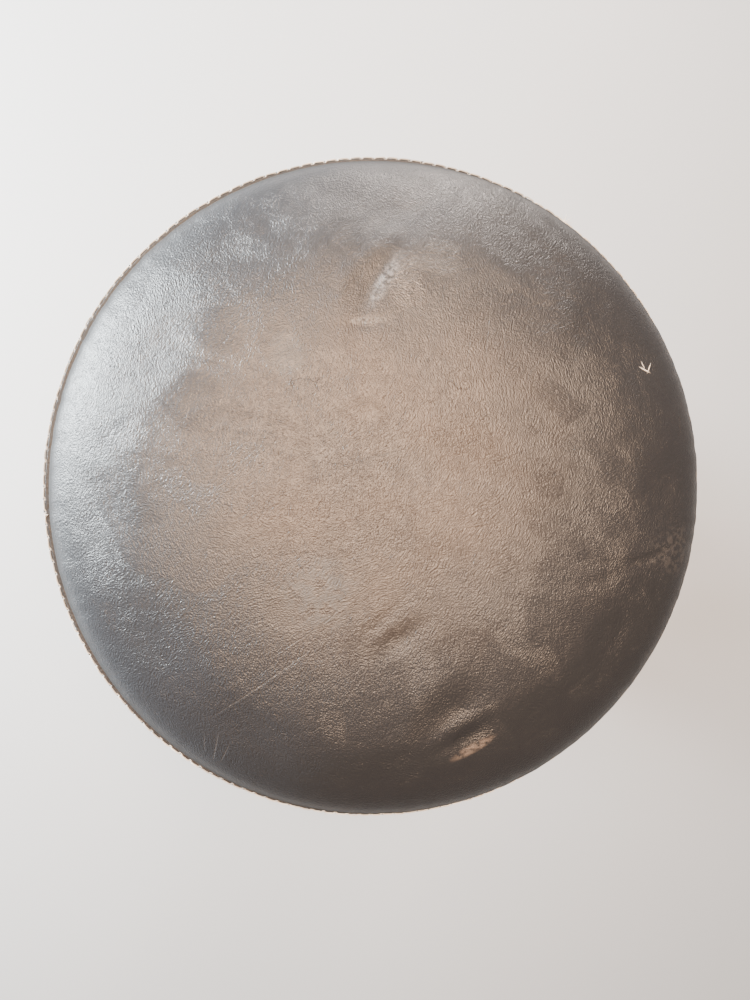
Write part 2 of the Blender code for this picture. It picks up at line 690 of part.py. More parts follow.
def hubs():
    """The braces turn on the fixed lower hub, and the legs on the hub that slides above it."""
    hub("lower_hub", LOWER_PIVOT_HEIGHT, LOWER_HUB_ABOVE, LOWER_LUG_WIDTH)
    slide = hub("slide_hub", SLIDE_PIVOT_HEIGHT, SLIDE_HUB_ABOVE, SLIDE_LUG_WIDTH)
    start = (0, 0, HUB_SCREW_HEIGHT)
    cut(slide, cylinder_cutter("hub_screw_hole", SCREW_RADIUS + RUNNING, start, (1, 0, 0), 0.06))


def headed_pin(name, half, matrix):
    """A pivot rivet across local Z, with a low domed head at each end, half the grip away."""
    step = half + GAP
    dome = [(0, step + PIN_HEAD_HEIGHT), (PIN_HEAD_RADIUS * 0.7, step + PIN_HEAD_HEIGHT * 0.8),
            (PIN_HEAD_RADIUS, step), (PIN_RADIUS, step)]
    turned(name, dome + [(r, -z) for r, z in reversed(dome)], ZINC, matrix=matrix, sides=PIN_SIDES)


def leg(i, azimuth):
    """Two bars with a rivet head at the knee, a pivot pin in the sliding hub, and a rubber boot."""
    out, side = radial(azimuth), tangent(azimuth)
    pivot = out * PIVOT_RADIUS + Vector((0, 0, SLIDE_PIVOT_HEIGHT))
    down = out * sin(LEG_ANGLE) - Vector((0, 0, cos(LEG_ANGLE)))
    frame = placed(pivot, down, side)
    turn = joint_empty(f"leg_{i}_fold", frame)
    loops = [capsule(LEG_LENGTH, LEG_BAR_WIDTH / 2), hole(0, 0, PIN_RADIUS + RUNNING)]
    for word, sign in (("left", 1), ("right", -1)):
        centre = raised(sign * (LEG_INNER + LEG_OUTER) / 2)
        bar = plate(f"leg_{i}_{word}_bar", loops, BAR_THICKNESS, CHROME, centre, parent=turn)
        bar = as_mesh(bar)
        face = sign * LEG_OUTER
        head = [(0, PIN_HEAD_HEIGHT), (PIN_HEAD_RADIUS * 0.7, PIN_HEAD_HEIGHT * 0.8),
                (PIN_HEAD_RADIUS, 0), (PIN_HEAD_RADIUS, -0.0015), (0, -0.0015)]
        place = frame @ placed((LINK, 0, face), (1, 0, 0), (0, 0, sign))
        join(bar, turned(f"knee_head_{i}_{word}", head, None, matrix=place, sides=PIN_SIDES))
    headed_pin(f"leg_{i}_pivot_pin", LEG_OUTER, frame)
    boot(i, azimuth, frame, turn)


def boot(i, azimuth, leg_frame, turn):
    """A rubber boot with a flat sole, and a pocket for each bar. Its outline is in the plane of the leg, x outwards
    and y up from the end of the bars."""
    up = Vector((-sin(LEG_ANGLE), cos(LEG_ANGLE)))
    over = Vector((cos(LEG_ANGLE), sin(LEG_ANGLE)))
    half = LEG_BAR_WIDTH / 2 + BOOT_WALL
    sole = -FOOT_HEIGHT
    nose = arc((0, 0), half, LEG_ANGLE - 0.1, LEG_ANGLE - 0.9, 3)
    outline = [
        tuple(up * BOOT_SLEEVE - over * half),
        tuple(up * 0.004 - over * half),
        (-SOLE_REACH, sole + 0.006),
        (-SOLE_REACH, sole),
        (SOLE_REACH, sole),
        (SOLE_REACH + 0.002, sole + 0.007),
        *reversed(nose),
        tuple(up * BOOT_SLEEVE + over * half),
    ]
    out = radial(azimuth)
    end = out * FOOT_RADIUS + Vector((0, 0, FOOT_HEIGHT))
    width = 2 * (LEG_OUTER + GAP + BOOT_WALL)
    place = placed(end, out, -tangent(azimuth))
    shape = plate(f"leg_{i}_boot", [outline], width, RUBBER, turn.matrix_world.inverted() @ place,
                  parent=turn, edge=0.002)
    shape = as_mesh(shape)
    for word, sign in (("left", 1), ("right", -1)):
        pocket = capsule(LEG_LENGTH, LEG_BAR_WIDTH / 2 + GAP)
        middle = leg_frame @ raised(sign * (LEG_INNER + LEG_OUTER) / 2)
        cutter = plate(f"pocket_{i}_{word}", [pocket], BAR_THICKNESS + 2 * GAP, None, middle)
        cut(shape, as_mesh(cutter))


def brace(i, azimuth):
    """Two shorter bars between the leg's, from the lower hub up to the knee."""
    out, side = radial(azimuth), tangent(azimuth)
    pivot = out * PIVOT_RADIUS + Vector((0, 0, LOWER_PIVOT_HEIGHT))
    along = out * sin(LEG_ANGLE) + Vector((0, 0, cos(LEG_ANGLE)))
    frame = placed(pivot, along, side)
    turn = joint_empty(f"brace_{i}_fold", frame)
    loops = [capsule(LINK, BRACE_BAR_WIDTH / 2), hole(0, 0, PIN_RADIUS + RUNNING), hole(LINK, 0, PIN_RADIUS + RUNNING)]
    for word, sign in (("left", 1), ("right", -1)):
        centre = raised(sign * (BRACE_INNER + BRACE_OUTER) / 2)
        plate(f"brace_{i}_{word}_bar", loops, BAR_THICKNESS, CHROME, centre, parent=turn)
    headed_pin(f"brace_{i}_pivot_pin", BRACE_OUTER, frame)
    wide, half = BRACE_INNER - SIDE_GAP, BRACE_OUTER
    spacer = [(0, half), (PIN_RADIUS, half), (PIN_RADIUS, wide), (PIN_HEAD_RADIUS, wide)]
    turned(f"knee_{i}_pin", spacer + [(r, -z) for r, z in reversed(spacer)], ZINC,
           matrix=Matrix.Translation((LINK, 0, 0)), sides=PIN_SIDES, parent=turn)


# ---- Build ----------------------------------------------------------------------------------------------------

clear_scene()
STOOL = collection("adjustable_swivel_stool")
CUTTERS = collection("cutters")
seat_cover()
seat_filling()
seat_board()
dust_cloth()
seat_bracket()
seat_fasteners()
outer_tube()
clamp_collar()
clamp_liner()
inner_post()
memory_lock()
swivel_bearing()
wing_screws()
hubs()
for number, angle in enumerate(leg_azimuths(), 1):
    leg(number, angle)
    brace(number, angle)
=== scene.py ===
# %% [markdown]
# An adjustable swivel stool, dressed for a picture. Its solid model is loaded first and stays fixed: it says where
# every piece is and how it moves. Each step below makes the shape that is seen, gives it a finish, and names the
# body that it rides on. Lengths are metres, +Z is up, and the origin is on the floor under the seat's axis.

import json
from math import cos, pi, radians, sin

import bmesh
import bpy
import numpy as np
from mathutils import Matrix, Vector


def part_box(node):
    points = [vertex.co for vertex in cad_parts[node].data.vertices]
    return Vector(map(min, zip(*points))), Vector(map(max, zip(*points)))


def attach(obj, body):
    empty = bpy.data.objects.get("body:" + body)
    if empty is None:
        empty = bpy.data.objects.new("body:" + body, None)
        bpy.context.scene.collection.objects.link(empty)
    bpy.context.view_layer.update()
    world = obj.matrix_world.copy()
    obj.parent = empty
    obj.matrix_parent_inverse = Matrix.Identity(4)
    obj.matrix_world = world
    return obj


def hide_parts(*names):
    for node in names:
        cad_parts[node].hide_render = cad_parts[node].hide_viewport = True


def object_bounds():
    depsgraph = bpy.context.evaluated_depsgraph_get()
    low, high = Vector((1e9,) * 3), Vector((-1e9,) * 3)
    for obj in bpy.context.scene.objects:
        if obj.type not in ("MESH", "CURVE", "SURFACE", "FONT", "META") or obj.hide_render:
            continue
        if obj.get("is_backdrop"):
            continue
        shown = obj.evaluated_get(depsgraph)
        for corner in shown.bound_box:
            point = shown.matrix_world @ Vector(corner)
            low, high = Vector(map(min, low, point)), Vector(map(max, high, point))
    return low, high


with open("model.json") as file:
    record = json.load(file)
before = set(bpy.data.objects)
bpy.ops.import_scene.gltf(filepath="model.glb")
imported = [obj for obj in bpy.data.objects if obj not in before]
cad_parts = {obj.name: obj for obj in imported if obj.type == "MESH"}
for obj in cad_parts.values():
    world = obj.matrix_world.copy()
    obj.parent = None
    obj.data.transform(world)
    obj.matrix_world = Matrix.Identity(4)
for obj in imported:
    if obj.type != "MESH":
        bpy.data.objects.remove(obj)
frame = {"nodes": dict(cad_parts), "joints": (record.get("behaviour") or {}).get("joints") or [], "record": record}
cad_box = [list(corner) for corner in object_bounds()]
print("solid model from", [round(x, 4) for x in cad_box[0]], "to", [round(x, 4) for x in cad_box[1]])

# %% [markdown]
# Nothing is measured twice. Heights and radii come from the solid pieces' own boxes, and the pivots come from the
# joints, so a change to the solid model moves the looks with it.

# %% Heights and radii of the solid pieces
def low(node, axis=2):
    """The lower side of a solid piece's box, in Z unless another axis is asked for."""
    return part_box(node)[0][axis]


def high(node, axis=2):
    """The upper side of a solid piece's box."""
    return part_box(node)[1][axis]


def place_of(rows, name):
    """Where the joint or mount of this name is, from its row in a table of the solid model."""
    return np.array(next(row["pos_m"] for row in rows if row["name"] == name), float)


LIP_RADIUS = high("top_panel", 0)
LIP_WIDTH = 0.0045
WRAP_WIDTH = 0.020
RUNNING_GAP = 0.0003
SEAT_TOP = high("top_panel")
SEAM_Z = (low("top_panel") + high("side_band")) / 2
BAND_RADIUS = LIP_RADIUS - 0.0041
WRAP_Z = low("side_band")
WRAP_INNER = BAND_RADIUS - WRAP_WIDTH
TUBE_RADIUS = high("outer_tube", 0)
POST_RADIUS = high("inner_post", 0)
CROWN_HEIGHT = SEAT_TOP - SEAM_Z
print(f"seam at {SEAM_Z * 1000:.1f} mm, {LIP_RADIUS * 2000:.0f} mm across, crown {CROWN_HEIGHT * 1000:.1f} mm high")

# %% [markdown]
# The camera looks almost straight down on the seat, a few degrees off its axis, so that the seat fills the frame and
# hides its own legs. The lens is that of a telephone. A camera looks along its own -Z with its +Y up, so its three
# axes go straight into the columns of a matrix.

# %% Camera
VIEW_TILT = radians(7.4)
VIEW_AZIMUTH = radians(159.5)
VIEW_DISTANCE = 0.375
LENS_MM, SENSOR_MM = 27, 36
view_target = Vector((-0.0060, -0.0036, SEAM_Z))
view_axis = Vector((sin(VIEW_TILT) * cos(VIEW_AZIMUTH), sin(VIEW_TILT) * sin(VIEW_AZIMUTH), cos(VIEW_TILT)))


def added(name, data):
    """A new object for a mesh, a camera or a lamp, linked to the scene."""
    made = bpy.data.objects.new(name, data)
    bpy.context.scene.collection.objects.link(made)
    return made


camera_data = bpy.data.cameras.new("camera")
camera_data.lens, camera_data.sensor_width = LENS_MM, SENSOR_MM
camera = added("camera", camera_data)
up_in_view = (Vector((0, 1, 0)) - view_axis * view_axis.y).normalized()
camera.matrix_world = Matrix((up_in_view.cross(view_axis), up_in_view, view_axis)).transposed().to_4x4()
camera.location = view_target + view_axis * VIEW_DISTANCE
bpy.context.scene.camera = camera
print("camera at", [round(x, 4) for x in camera.location])

# %% [markdown]
# A studio for one black seat. Black vinyl shows mostly what it mirrors, so the lights are soft panels in the places
# that it should mirror: a wide cool one low at the left makes the bright shoulder, a small warm one high overhead
# fills the middle, a weak one behind lifts the far edge, and the right side is left dark. An area light shines along
# its own -Z.

# %% Lights
LIGHTS = (
    # name, place, height aimed at, width and height, watts, colour
    ("left_panel", (-1.20, 0.47, 0.59), 0.47, (0.62, 0.26), 165, (0.90, 0.97, 1.0)),
    ("back_panel", (0.26, 1.12, 0.62), 0.47, (0.42, 0.26), 27, (1.0, 0.88, 0.79)),
    ("overhead_panel", (-0.02, 0.11, 1.30), 0.45, (0.34, 0.34), 33, (1.0, 0.68, 0.46)),
)
SKY_COLOUR = (0.80, 0.84, 0.90, 1)
SKY_STRENGTH = 0.20


def softbox(name, place, aim_height, size, watts, colour):
    """A rectangular area light at place that faces the seat's axis at aim_height."""
    data = bpy.data.lights.new(name, "AREA")
    data.shape = "RECTANGLE"
    data.size, data.size_y = size
    data.energy = watts
    data.color = colour
    lamp = added(name, data)
    lamp.location = place
    lamp.rotation_euler = (Vector((0, 0, aim_height)) - Vector(place)).to_track_quat("-Z", "Y").to_euler()


for row in LIGHTS:
    softbox(*row)
world = bpy.data.worlds.new("studio")
world.use_nodes = True
sky = world.node_tree.nodes["Background"].inputs
sky["Color"].default_value, sky["Strength"].default_value = SKY_COLOUR, SKY_STRENGTH
bpy.context.scene.world = world
print(len(LIGHTS), "lights and a dim sky")

# %% [markdown]
# Two small tools carry the rest. The first turns grids of points into meshes. Every new shape here is a function of
# two parameters, worked out for the whole grid at once with numpy, and neighbouring grid points are joined by four
# sided faces. A grid that goes round something joins its last column to its first, and open ends are capped.

# %% Grids of points into meshes
def grid_faces(rows, columns, around=True, along=False, capped=False, first=0):
    """Faces of a grid as arrays of corner numbers. around joins the last column to the first, along joins the last
    row to the first, and capped closes the first and the last row with a polygon each."""
    index = np.arange(rows * columns).reshape(rows, columns) + first
    ends = [index[0][::-1], index[-1]] if capped else []
    if around:
        index = np.hstack([index, index[:, :1]])
    if along:
        index = np.vstack([index, index[:1]])
    corners = (index[:-1, :-1], index[:-1, 1:], index[1:, 1:], index[1:, :-1])
    quads = np.stack(corners, -1).reshape(-1, 4)
    return quads.tolist() + [end.tolist() for end in ends]


def shell(points, **options):
    """One closed grid, ready to become a piece or a part of one: its points in a list, and its faces."""
    return points.reshape(-1, 3), grid_faces(*points.shape[:2], **options)


def make_mesh(name, shells, sharp=radians(38)):
    """A mesh from one or more shells. Doubles at poles and seams are merged, then faces are turned outwards, and
    edges steeper than `sharp` stay crisp."""
    mesh = bpy.data.meshes.new(name)
    points, faces, count = [], [], 0
    for these_points, these_faces in shells:
        points.append(these_points)
        faces += [[corner + count for corner in face] for face in these_faces]
        count += len(these_points)
    mesh.from_pydata(np.concatenate(points), [], faces)
    return tidy_mesh(mesh, sharp)


def merge_doubles(work):
    """Points that coincide become one, and faces and edges without size go."""
    bmesh.ops.remove_doubles(work, verts=work.verts, dist=2e-6)
    bmesh.ops.dissolve_degenerate(work, edges=work.edges, dist=1e-7)


def close_hole(work):
    """One face over the open edges."""
    bmesh.ops.contextual_create(work, geom=[edge for edge in work.edges if edge.is_boundary])


def reworked(mesh, *steps):
    """The mesh after the given steps on a working copy of it, with its faces turned outwards at the end."""
    work = bmesh.new()
    work.from_mesh(mesh)
    for step in steps:
        step(work)
    bmesh.ops.recalc_face_normals(work, faces=work.faces)
    work.to_mesh(mesh)
    work.free()
    return mesh


def tidy_mesh(mesh, sharp):
    """Doubles merged, empty faces gone, faces outwards, smooth shading with crisp edges."""
    reworked(mesh, merge_doubles)
    mesh.shade_smooth()
    mesh.set_sharp_from_angle(angle=sharp)
    return mesh


def piece(name, mesh, finish, body, slot, replaces=()):
    """A finished piece of the stool: its mesh in place, its material, and the body that carries it."""
    made = added(name, mesh)
    mesh.materials.clear()
    mesh.materials.append(finish)
    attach(made, body)
    if replaces:
        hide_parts(*replaces)
    return made


def with_modifiers(mesh, *steps):
    """The mesh after the modifiers in steps, each a kind and its settings, as a new mesh with none left on it."""
    helper = added("helper", mesh)
    for kind, settings in steps:
        modifier = helper.modifiers.new(kind, kind)
        for setting, value in settings.items():
            setattr(modifier, setting, value)
    bpy.context.view_layer.update()
    graph = bpy.context.evaluated_depsgraph_get()
    made = bpy.data.meshes.new_from_object(helper.evaluated_get(graph))
    bpy.data.objects.remove(helper)
    return made


def coordinates(mesh):
    """A mesh's points as an array with a row for each."""
    flat = np.empty(len(mesh.vertices) * 3, np.float32)
    mesh.vertices.foreach_get("co", flat)
    return flat.reshape(-1, 3).astype(float)


def set_coordinates(mesh, points):
    """Puts an array of points back into a mesh."""
    mesh.vertices.foreach_set("co", points.astype(np.float32).ravel())
    mesh.update()


def turns(count):
    """Angles that divide a whole turn evenly."""
    return np.linspace(0, 2 * pi, count, endpoint=False)


def polar(radius, angle, height):
    """Points (r cos a, r sin a, z) for radii, angles and heights of any shapes that fit each other."""
    radius, angle, height = np.broadcast_arrays(radius, angle, height)
    return np.stack([radius * np.cos(angle), radius * np.sin(angle), height], -1)


def spin(profile, sides, matrix=None):
    """A turned shape: every (radius, height) of the profile goes round the Z axis."""
    profile = np.asarray(profile, float)
    points = polar(profile[:, :1], turns(sides), profile[:, 1:])
    return points if matrix is None else moved(points, matrix)


def spaced(path, share):
    """Points of a bent line in a plane, at each share of the way along it."""
    travelled = np.concatenate([[0], np.cumsum(np.hypot(*np.diff(path, axis=0).T))])
    return np.stack([np.interp(share * travelled[-1], travelled, path[:, axis]) for axis in (0, 1)], -1)


def superellipse(angle, power):
    """Radius of |x|^power + |y|^power = 1 at each angle: a square whose corners are rounder the lower the power."""
    return 1 / (np.abs(np.cos(angle)) ** power + np.abs(np.sin(angle)) ** power) ** (1 / power)


def moved(points, matrix):
    """Points of any grid after a 4 by 4 matrix."""
    matrix = np.array(matrix)
    return points @ matrix[:3, :3].T + matrix[:3, 3]


def softened(corners, radius, steps=4):
    """A profile with its inner corners rounded. Each corner becomes a curve between points `radius` away on either
    side: start (1 - t)^2 + corner 2 t (1 - t) + end t^2. A corner's own third value, where given, is its radius."""
    corners = np.asarray(corners, float)
    size = corners[1:-1, 2:] if corners.shape[1] > 2 else np.full((len(corners) - 2, 1), radius)
    flat = corners[:, :2]
    back, ahead = flat[:-2] - flat[1:-1], flat[2:] - flat[1:-1]
    back_length = np.linalg.norm(back, axis=1, keepdims=True)
    ahead_length = np.linalg.norm(ahead, axis=1, keepdims=True)
    start = flat[1:-1] + back / back_length * np.minimum(size, back_length / 2)
    end = flat[1:-1] + ahead / ahead_length * np.minimum(size, ahead_length / 2)
    t = np.linspace(0, 1, steps)[None, :, None]
    curves = start[:, None] * (1 - t) ** 2 + flat[1:-1][:, None] * 2 * t * (1 - t) + end[:, None] * t ** 2
    return np.concatenate([flat[:1], curves.reshape(-1, 2), flat[-1:]])


def placed(origin, along, up):
    """The matrix that puts X along `along` and Z as near to `up` as it can, at origin."""
    x = Vector(along).normalized()
    z = Vector(up)
    z = (z - x * z.dot(x)).normalized()
    return Matrix.Translation(Vector(origin)) @ Matrix((x, z.cross(x), z)).transposed().to_4x4()


def smooth_step(value, start, end):
    """0 before start, 1 after end, and 3t^2 - 2t^3 between them."""
    t = np.clip((value - start) / (end - start), 0, 1)
    return t * t * (3 - 2 * t)


rng = np.random.default_rng(27)


def ripples(angle, counts, seed):
    """A lumpy closed wave round a circle, about -1 to 1: sines of the given counts with random phase and strength."""
    local = np.random.default_rng(seed)
    phase = local.uniform(0, 2 * pi, len(counts))
    strength = local.uniform(0.5, 1, len(counts))
    waves = np.sin(np.asarray(counts) * angle[..., None] + phase) * strength
    return waves.sum(-1) / strength.sum() * 1.6


print("grid tools ready")

# %% [markdown]
# The second tool writes a material the way one writes arithmetic. A Link holds a node's output, and adding or
# multiplying Links adds Math nodes. Colours and vectors go through Mix and Vector Math nodes instead, because a Math
# node would turn a colour grey. Any other node comes from one method, which sets the node up before it is connected.

# %% Shader arithmetic
class Link:
    """A node's output in a material. a + b, 1 - a and a * 0.3 add Math nodes."""

    def __init__(self, tree, socket):
        self.tree = tree
        self.socket = socket

    def node(self, kind, settings=None, sockets=None, output=0):
        """A new node of this kind: its settings first, then numbers or Links for its sockets. Gives one output."""
        made = self.tree.nodes.new("ShaderNode" + kind)
        for name, value in (settings or {}).items():
            setattr(made, name, value)
        for name, value in (sockets or {}).items():
            if isinstance(value, Link):
                self.tree.links.new(value.socket, made.inputs[name])
            else:
                made.inputs[name].default_value = value
        return Link(self.tree, made.outputs[output])

    def maths(self, operation, other=0.0):
        """This value and another one through a Math node."""
        return self.node("Math", {"operation": operation}, {0: self, 1: other})

    def __add__(self, other):
        return self.maths("ADD", other)

    def __sub__(self, other):
        return self.maths("SUBTRACT", other)

    def __rsub__(self, other):
        return self.node("Math", {"operation": "SUBTRACT"}, {0: other, 1: self})

    def __mul__(self, other):
        return self.maths("MULTIPLY", other)

    __radd__ = __add__
    __rmul__ = __mul__

    def least(self, other):
        return self.maths("MINIMUM", other)

    def most(self, other):
        return self.maths("MAXIMUM", other)

    def between(self, start, end):
        """Smoothly from 0 to 1 as this value goes from start to end; start may be the larger."""
        return self.node("MapRange", {"interpolation_type": "SMOOTHSTEP"}, {0: self, 1: start, 2: end})

    def mix(self, first, second):
        """The colour first where this value is 0 and second where it is 1."""
        sockets = {0: self}
        for number, colour in ((6, first), (7, second)):
            sockets[number] = colour if isinstance(colour, Link) else (*colour, 1)
        return self.node("Mix", {"data_type": "RGBA"}, sockets, output=2)

    def height(self):
        """The Z of this vector."""
        return self.node("SeparateXYZ", None, {0: self}, output=2)

    def shifted(self, other, strength=1.0):
        """This vector plus another one times strength."""
        return self.node("VectorMath", {"operation": "MULTIPLY_ADD"}, {0: other, 1: (strength,) * 3, 2: self})

    def mapped(self, offset=(0, 0, 0), turn=(0, 0, 0), scale=(1, 1, 1)):
        """This vector taken from the frame at offset, turned by turn, and then divided by scale."""
        sockets = {"Vector": self, "Location": offset, "Rotation": turn, "Scale": scale}
        return self.node("Mapping", {"vector_type": "TEXTURE"}, sockets)

    def noise(self, size, detail=2.0, roughness=0.5, output=0):
        """Smooth cloud of lumps about `size` metres across, 0 to 1."""
        sockets = {"Vector": self, "Scale": 1 / size, "Detail": detail, "Roughness": roughness}
        return self.node("TexNoise", None, sockets, output)

    def cells(self, size, feature="F1", smooth=None):
        """Random cells about `size` metres across: the distance from each one's middle, or another feature."""
        sockets = {"Vector": self, "Scale": 1 / size}
        if smooth is not None:
            sockets["Smoothness"] = smooth
        return self.node("TexVoronoi", {"feature": feature}, sockets)

    def bump(self, height, strength, normal=None):
        """The normal that a relief of `height` metres at this value's peaks gives."""
        sockets = {"Height": self, "Distance": height, "Strength": strength}
        if normal is not None:
            sockets["Normal"] = normal
        return self.node("Bump", None, sockets)


def socket_of(shader, words):
    """The shader's socket called base_color, roughness and so on."""
    return shader.inputs[words.replace("_", " ").title().replace("Ior", "IOR")]


def new_finish(name, **constants):
    """A material with its constants set on the shader. Gives the place in metres, and a function that connects what
    varies and gives the material."""
    made = bpy.data.materials.new(name)
    made.use_nodes = True
    tree = made.node_tree
    shader = tree.nodes["Principled BSDF"]
    for words, value in constants.items():
        socket_of(shader, words).default_value = value
    place = Link(tree, tree.nodes.new("ShaderNodeTexCoord").outputs["Object"])

    def connect(**varying):
        for words, link in varying.items():
            tree.links.new(link.socket, socket_of(shader, words))
        return made

    return place, connect


print("shader tools ready")

# %% [markdown]
# The cover is black grained vinyl. Its grain is embossed: fine ridges, longer than wide, that run in different
# directions from place to place, with pebbles between them and a few long creases where the cover has been sat on.
# One noise stretched along a line gives ridges in one direction, so four directions are made, and a slow noise
# chooses between them. Colour stays nearly black: the grain shows because it tilts the reflections.

# %% Vinyl grain
GRAIN_DIRECTIONS = {0.32: 20, 0.44: 62, 0.56: 108, 0.68: 155}
GRAIN_STRETCH = 3.4


def strongest(masks):
    """The greatest of several masks."""
    first, *others = masks
    for other in others:
        first = first.most(other)
    return first


def vinyl_grain(place, size):
    """Height of the grain, 0 to 1. Each direction's ridges show where a slow noise is near that direction's value."""
    bent = place.shifted(place.noise(0.011, 1.0, output=1), 0.0035)
    region = place.noise(0.034, 1.5)
    ridges = []
    for value, direction in GRAIN_DIRECTIONS.items():
        along = bent.mapped(turn=(0, 0, radians(direction)), scale=(GRAIN_STRETCH, 1, 1))
        ridges.append(along.noise(size, 2.5, 0.55) * (region - value).maths("ABSOLUTE").between(0.13, 0.03))
    pebbles = bent.cells(size * 1.1, "SMOOTH_F1", smooth=0.4)
    return strongest(ridges) * 0.75 + (1 - pebbles) * 0.30


def creases(place, size, width):
    """Thin dark lines between warped cells, kept only where a slow noise is high: 1 in a crease."""
    bent = place.shifted(place.noise(size * 0.6, 3.0, output=1), size * 0.9)
    line = bent.cells(size, "DISTANCE_TO_EDGE").between(width, 0)
    return line * place.noise(size * 1.3, 2.0).between(0.52, 0.70)


def streak(place, middle, direction, length, width):
    """1 along a straight mark about middle, fading at its ends and sides."""
    local = place.mapped(offset=middle, turn=(0, 0, radians(direction)), scale=(length / 2, width / 2, 1))
    flat = local.node("VectorMath", {"operation": "MULTIPLY"}, {0: local, 1: (1, 1, 0)})
    return flat.node("VectorMath", {"operation": "LENGTH"}, {0: flat}, output=1).between(1.0, 0.35)


def patch(place, middle, radius, rough=0.5):
    """1 in a soft-edged blot with a ragged outline."""
    ragged = place.shifted(place.noise(radius * 0.5, 3.0, output=1), radius * rough)
    centre = (middle[0] + radius * rough / 2, middle[1] + radius * rough / 2, 0)
    return streak(ragged, centre, 0, radius * 2, radius * 2)


print("grain runs in", len(GRAIN_DIRECTIONS), "directions")

# %% [markdown]
# The top panel is the most looked at, so its wear is placed one by one: a scuffed grey patch left of the middle, rubbed
# creases at the right, long faint scratches at the lower left, dents, and a small tear that shows the white backing.
# Light and shade are painted into its colour as well: a warm brown sheen over the middle, pale painted highlights along
# the lit rims of two dents, and creases painted a little darker as shade. Each is a mask that lightens or darkens the
# colour, changes the gloss, or does both. The steep roll near the seam is painted dark as shade: part of the shader
# there gives way to a matt black one.

# %% Vinyl of the top panel
VINYL_BLACK = (0.018, 0.020, 0.024)
VINYL_WORN = (0.058, 0.058, 0.060)
# painted warm sheen: the brown that tints the middle of the cover
WARM_SHEEN_BROWN = (0.050, 0.038, 0.031)
# painted shade: the darker black laid into the creases
CREASE_SHADE_BLACK = (0.014, 0.013, 0.013)
# painted highlights: cool grey for the lit rim of the crescent dent, tan for the lit ridge of the low dent
CRESCENT_HIGHLIGHT_GREY = (0.20, 0.205, 0.21)
LOW_DENT_HIGHLIGHT_TAN = (0.24, 0.195, 0.165)
BACKING_WHITE = (0.72, 0.70, 0.66)
# painted shade: the matt black that covers the steep roll near the seam
SHADE_MATT_BLACK = (0.016, 0.016, 0.017, 1)
STEEP_TOP, STEEP_BOTTOM = SEAM_Z + 0.0195, SEAM_Z + 0.0125

PATCHES = {
    # (x, y), radius, how ragged
    "scuff": ((-0.036, -0.043), 0.022, 0.5),
    "smudge": ((-0.050, 0.062), 0.011, 0.8),
    "rub": ((0.136, -0.028), 0.017, 0.7),
    "polish": ((0.001, 0.094), 0.016, 0.4),
    # the middle patch is where the brown painted sheen lies
    "middle": ((-0.010, 0.015), 0.105, 0.35),
}

# Marks, here and below: (x, y), direction in degrees, length, width.
LONG_SCRATCHES = (
    ((-0.058, -0.081), 35.5, 0.082, 0.0011),
    ((-0.046, -0.064), 33.0, 0.030, 0.0008),
    ((-0.083, -0.116), 78.0, 0.022, 0.0010),
    ((-0.079, -0.119), 66.0, 0.017, 0.0008),
    ((-0.088, -0.113), 88.0, 0.012, 0.0007),
    ((0.040, 0.076), 84.0, 0.050, 0.0008),
    ((0.047, 0.070), 96.0, 0.030, 0.0007),
    ((0.031, 0.066), 80.0, 0.022, 0.0007),
    ((-0.010, 0.018), 12.0, 0.030, 0.0006),
    ((-0.062, 0.020), 68.0, 0.020, 0.0006),
)
# Painted highlights: pale streaks along the lit side of the crescent dent and the fold below it, and on the lit ridge
# of the low dent on the right.
CRESCENT_HIGHLIGHT_MARKS = (
    ((-0.0066, 0.0948), 60.0, 0.034, 0.0085),
    ((-0.0147, 0.0772), 4.0, 0.021, 0.0040),
)
LOW_DENT_HIGHLIGHT_MARK = (((0.0362, -0.1185), 29.0, 0.029, 0.0062),)
RUBBED_CREASE = (((0.128, -0.031), 11, 0.055, 0.006),)
TEAR_CUTS = (
    ((0.1195, 0.0590), 158.0, 0.0085, 0.0011),
    ((0.1222, 0.0600), 62.0, 0.0070, 0.0010),
    ((0.1186, 0.0612), 118.0, 0.0050, 0.0008),
)


def marks(place, table):
    """1 on every straight mark of a table."""
    return strongest([streak(place, (x, y, 0), turn, length, width) for (x, y), turn, length, width in table])


def shaded_with_matt_black(made, share):
    """The material with share of its shader replaced by a matt black one: painted shade where share is high."""
    tree = made.node_tree
    matt = tree.nodes.new("ShaderNodeBsdfPrincipled")
    for words, value in {"base_color": SHADE_MATT_BLACK, "roughness": 0.8, "specular_ior_level": 0.12}.items():
        socket_of(matt, words).default_value = value
    blend = tree.nodes.new("ShaderNodeMixShader")
    tree.links.new(share.socket, blend.inputs[0])
    tree.links.new(tree.nodes["Principled BSDF"].outputs[0], blend.inputs[1])
    tree.links.new(matt.outputs[0], blend.inputs[2])
    tree.links.new(blend.outputs[0], tree.nodes["Material Output"].inputs["Surface"])
    return made


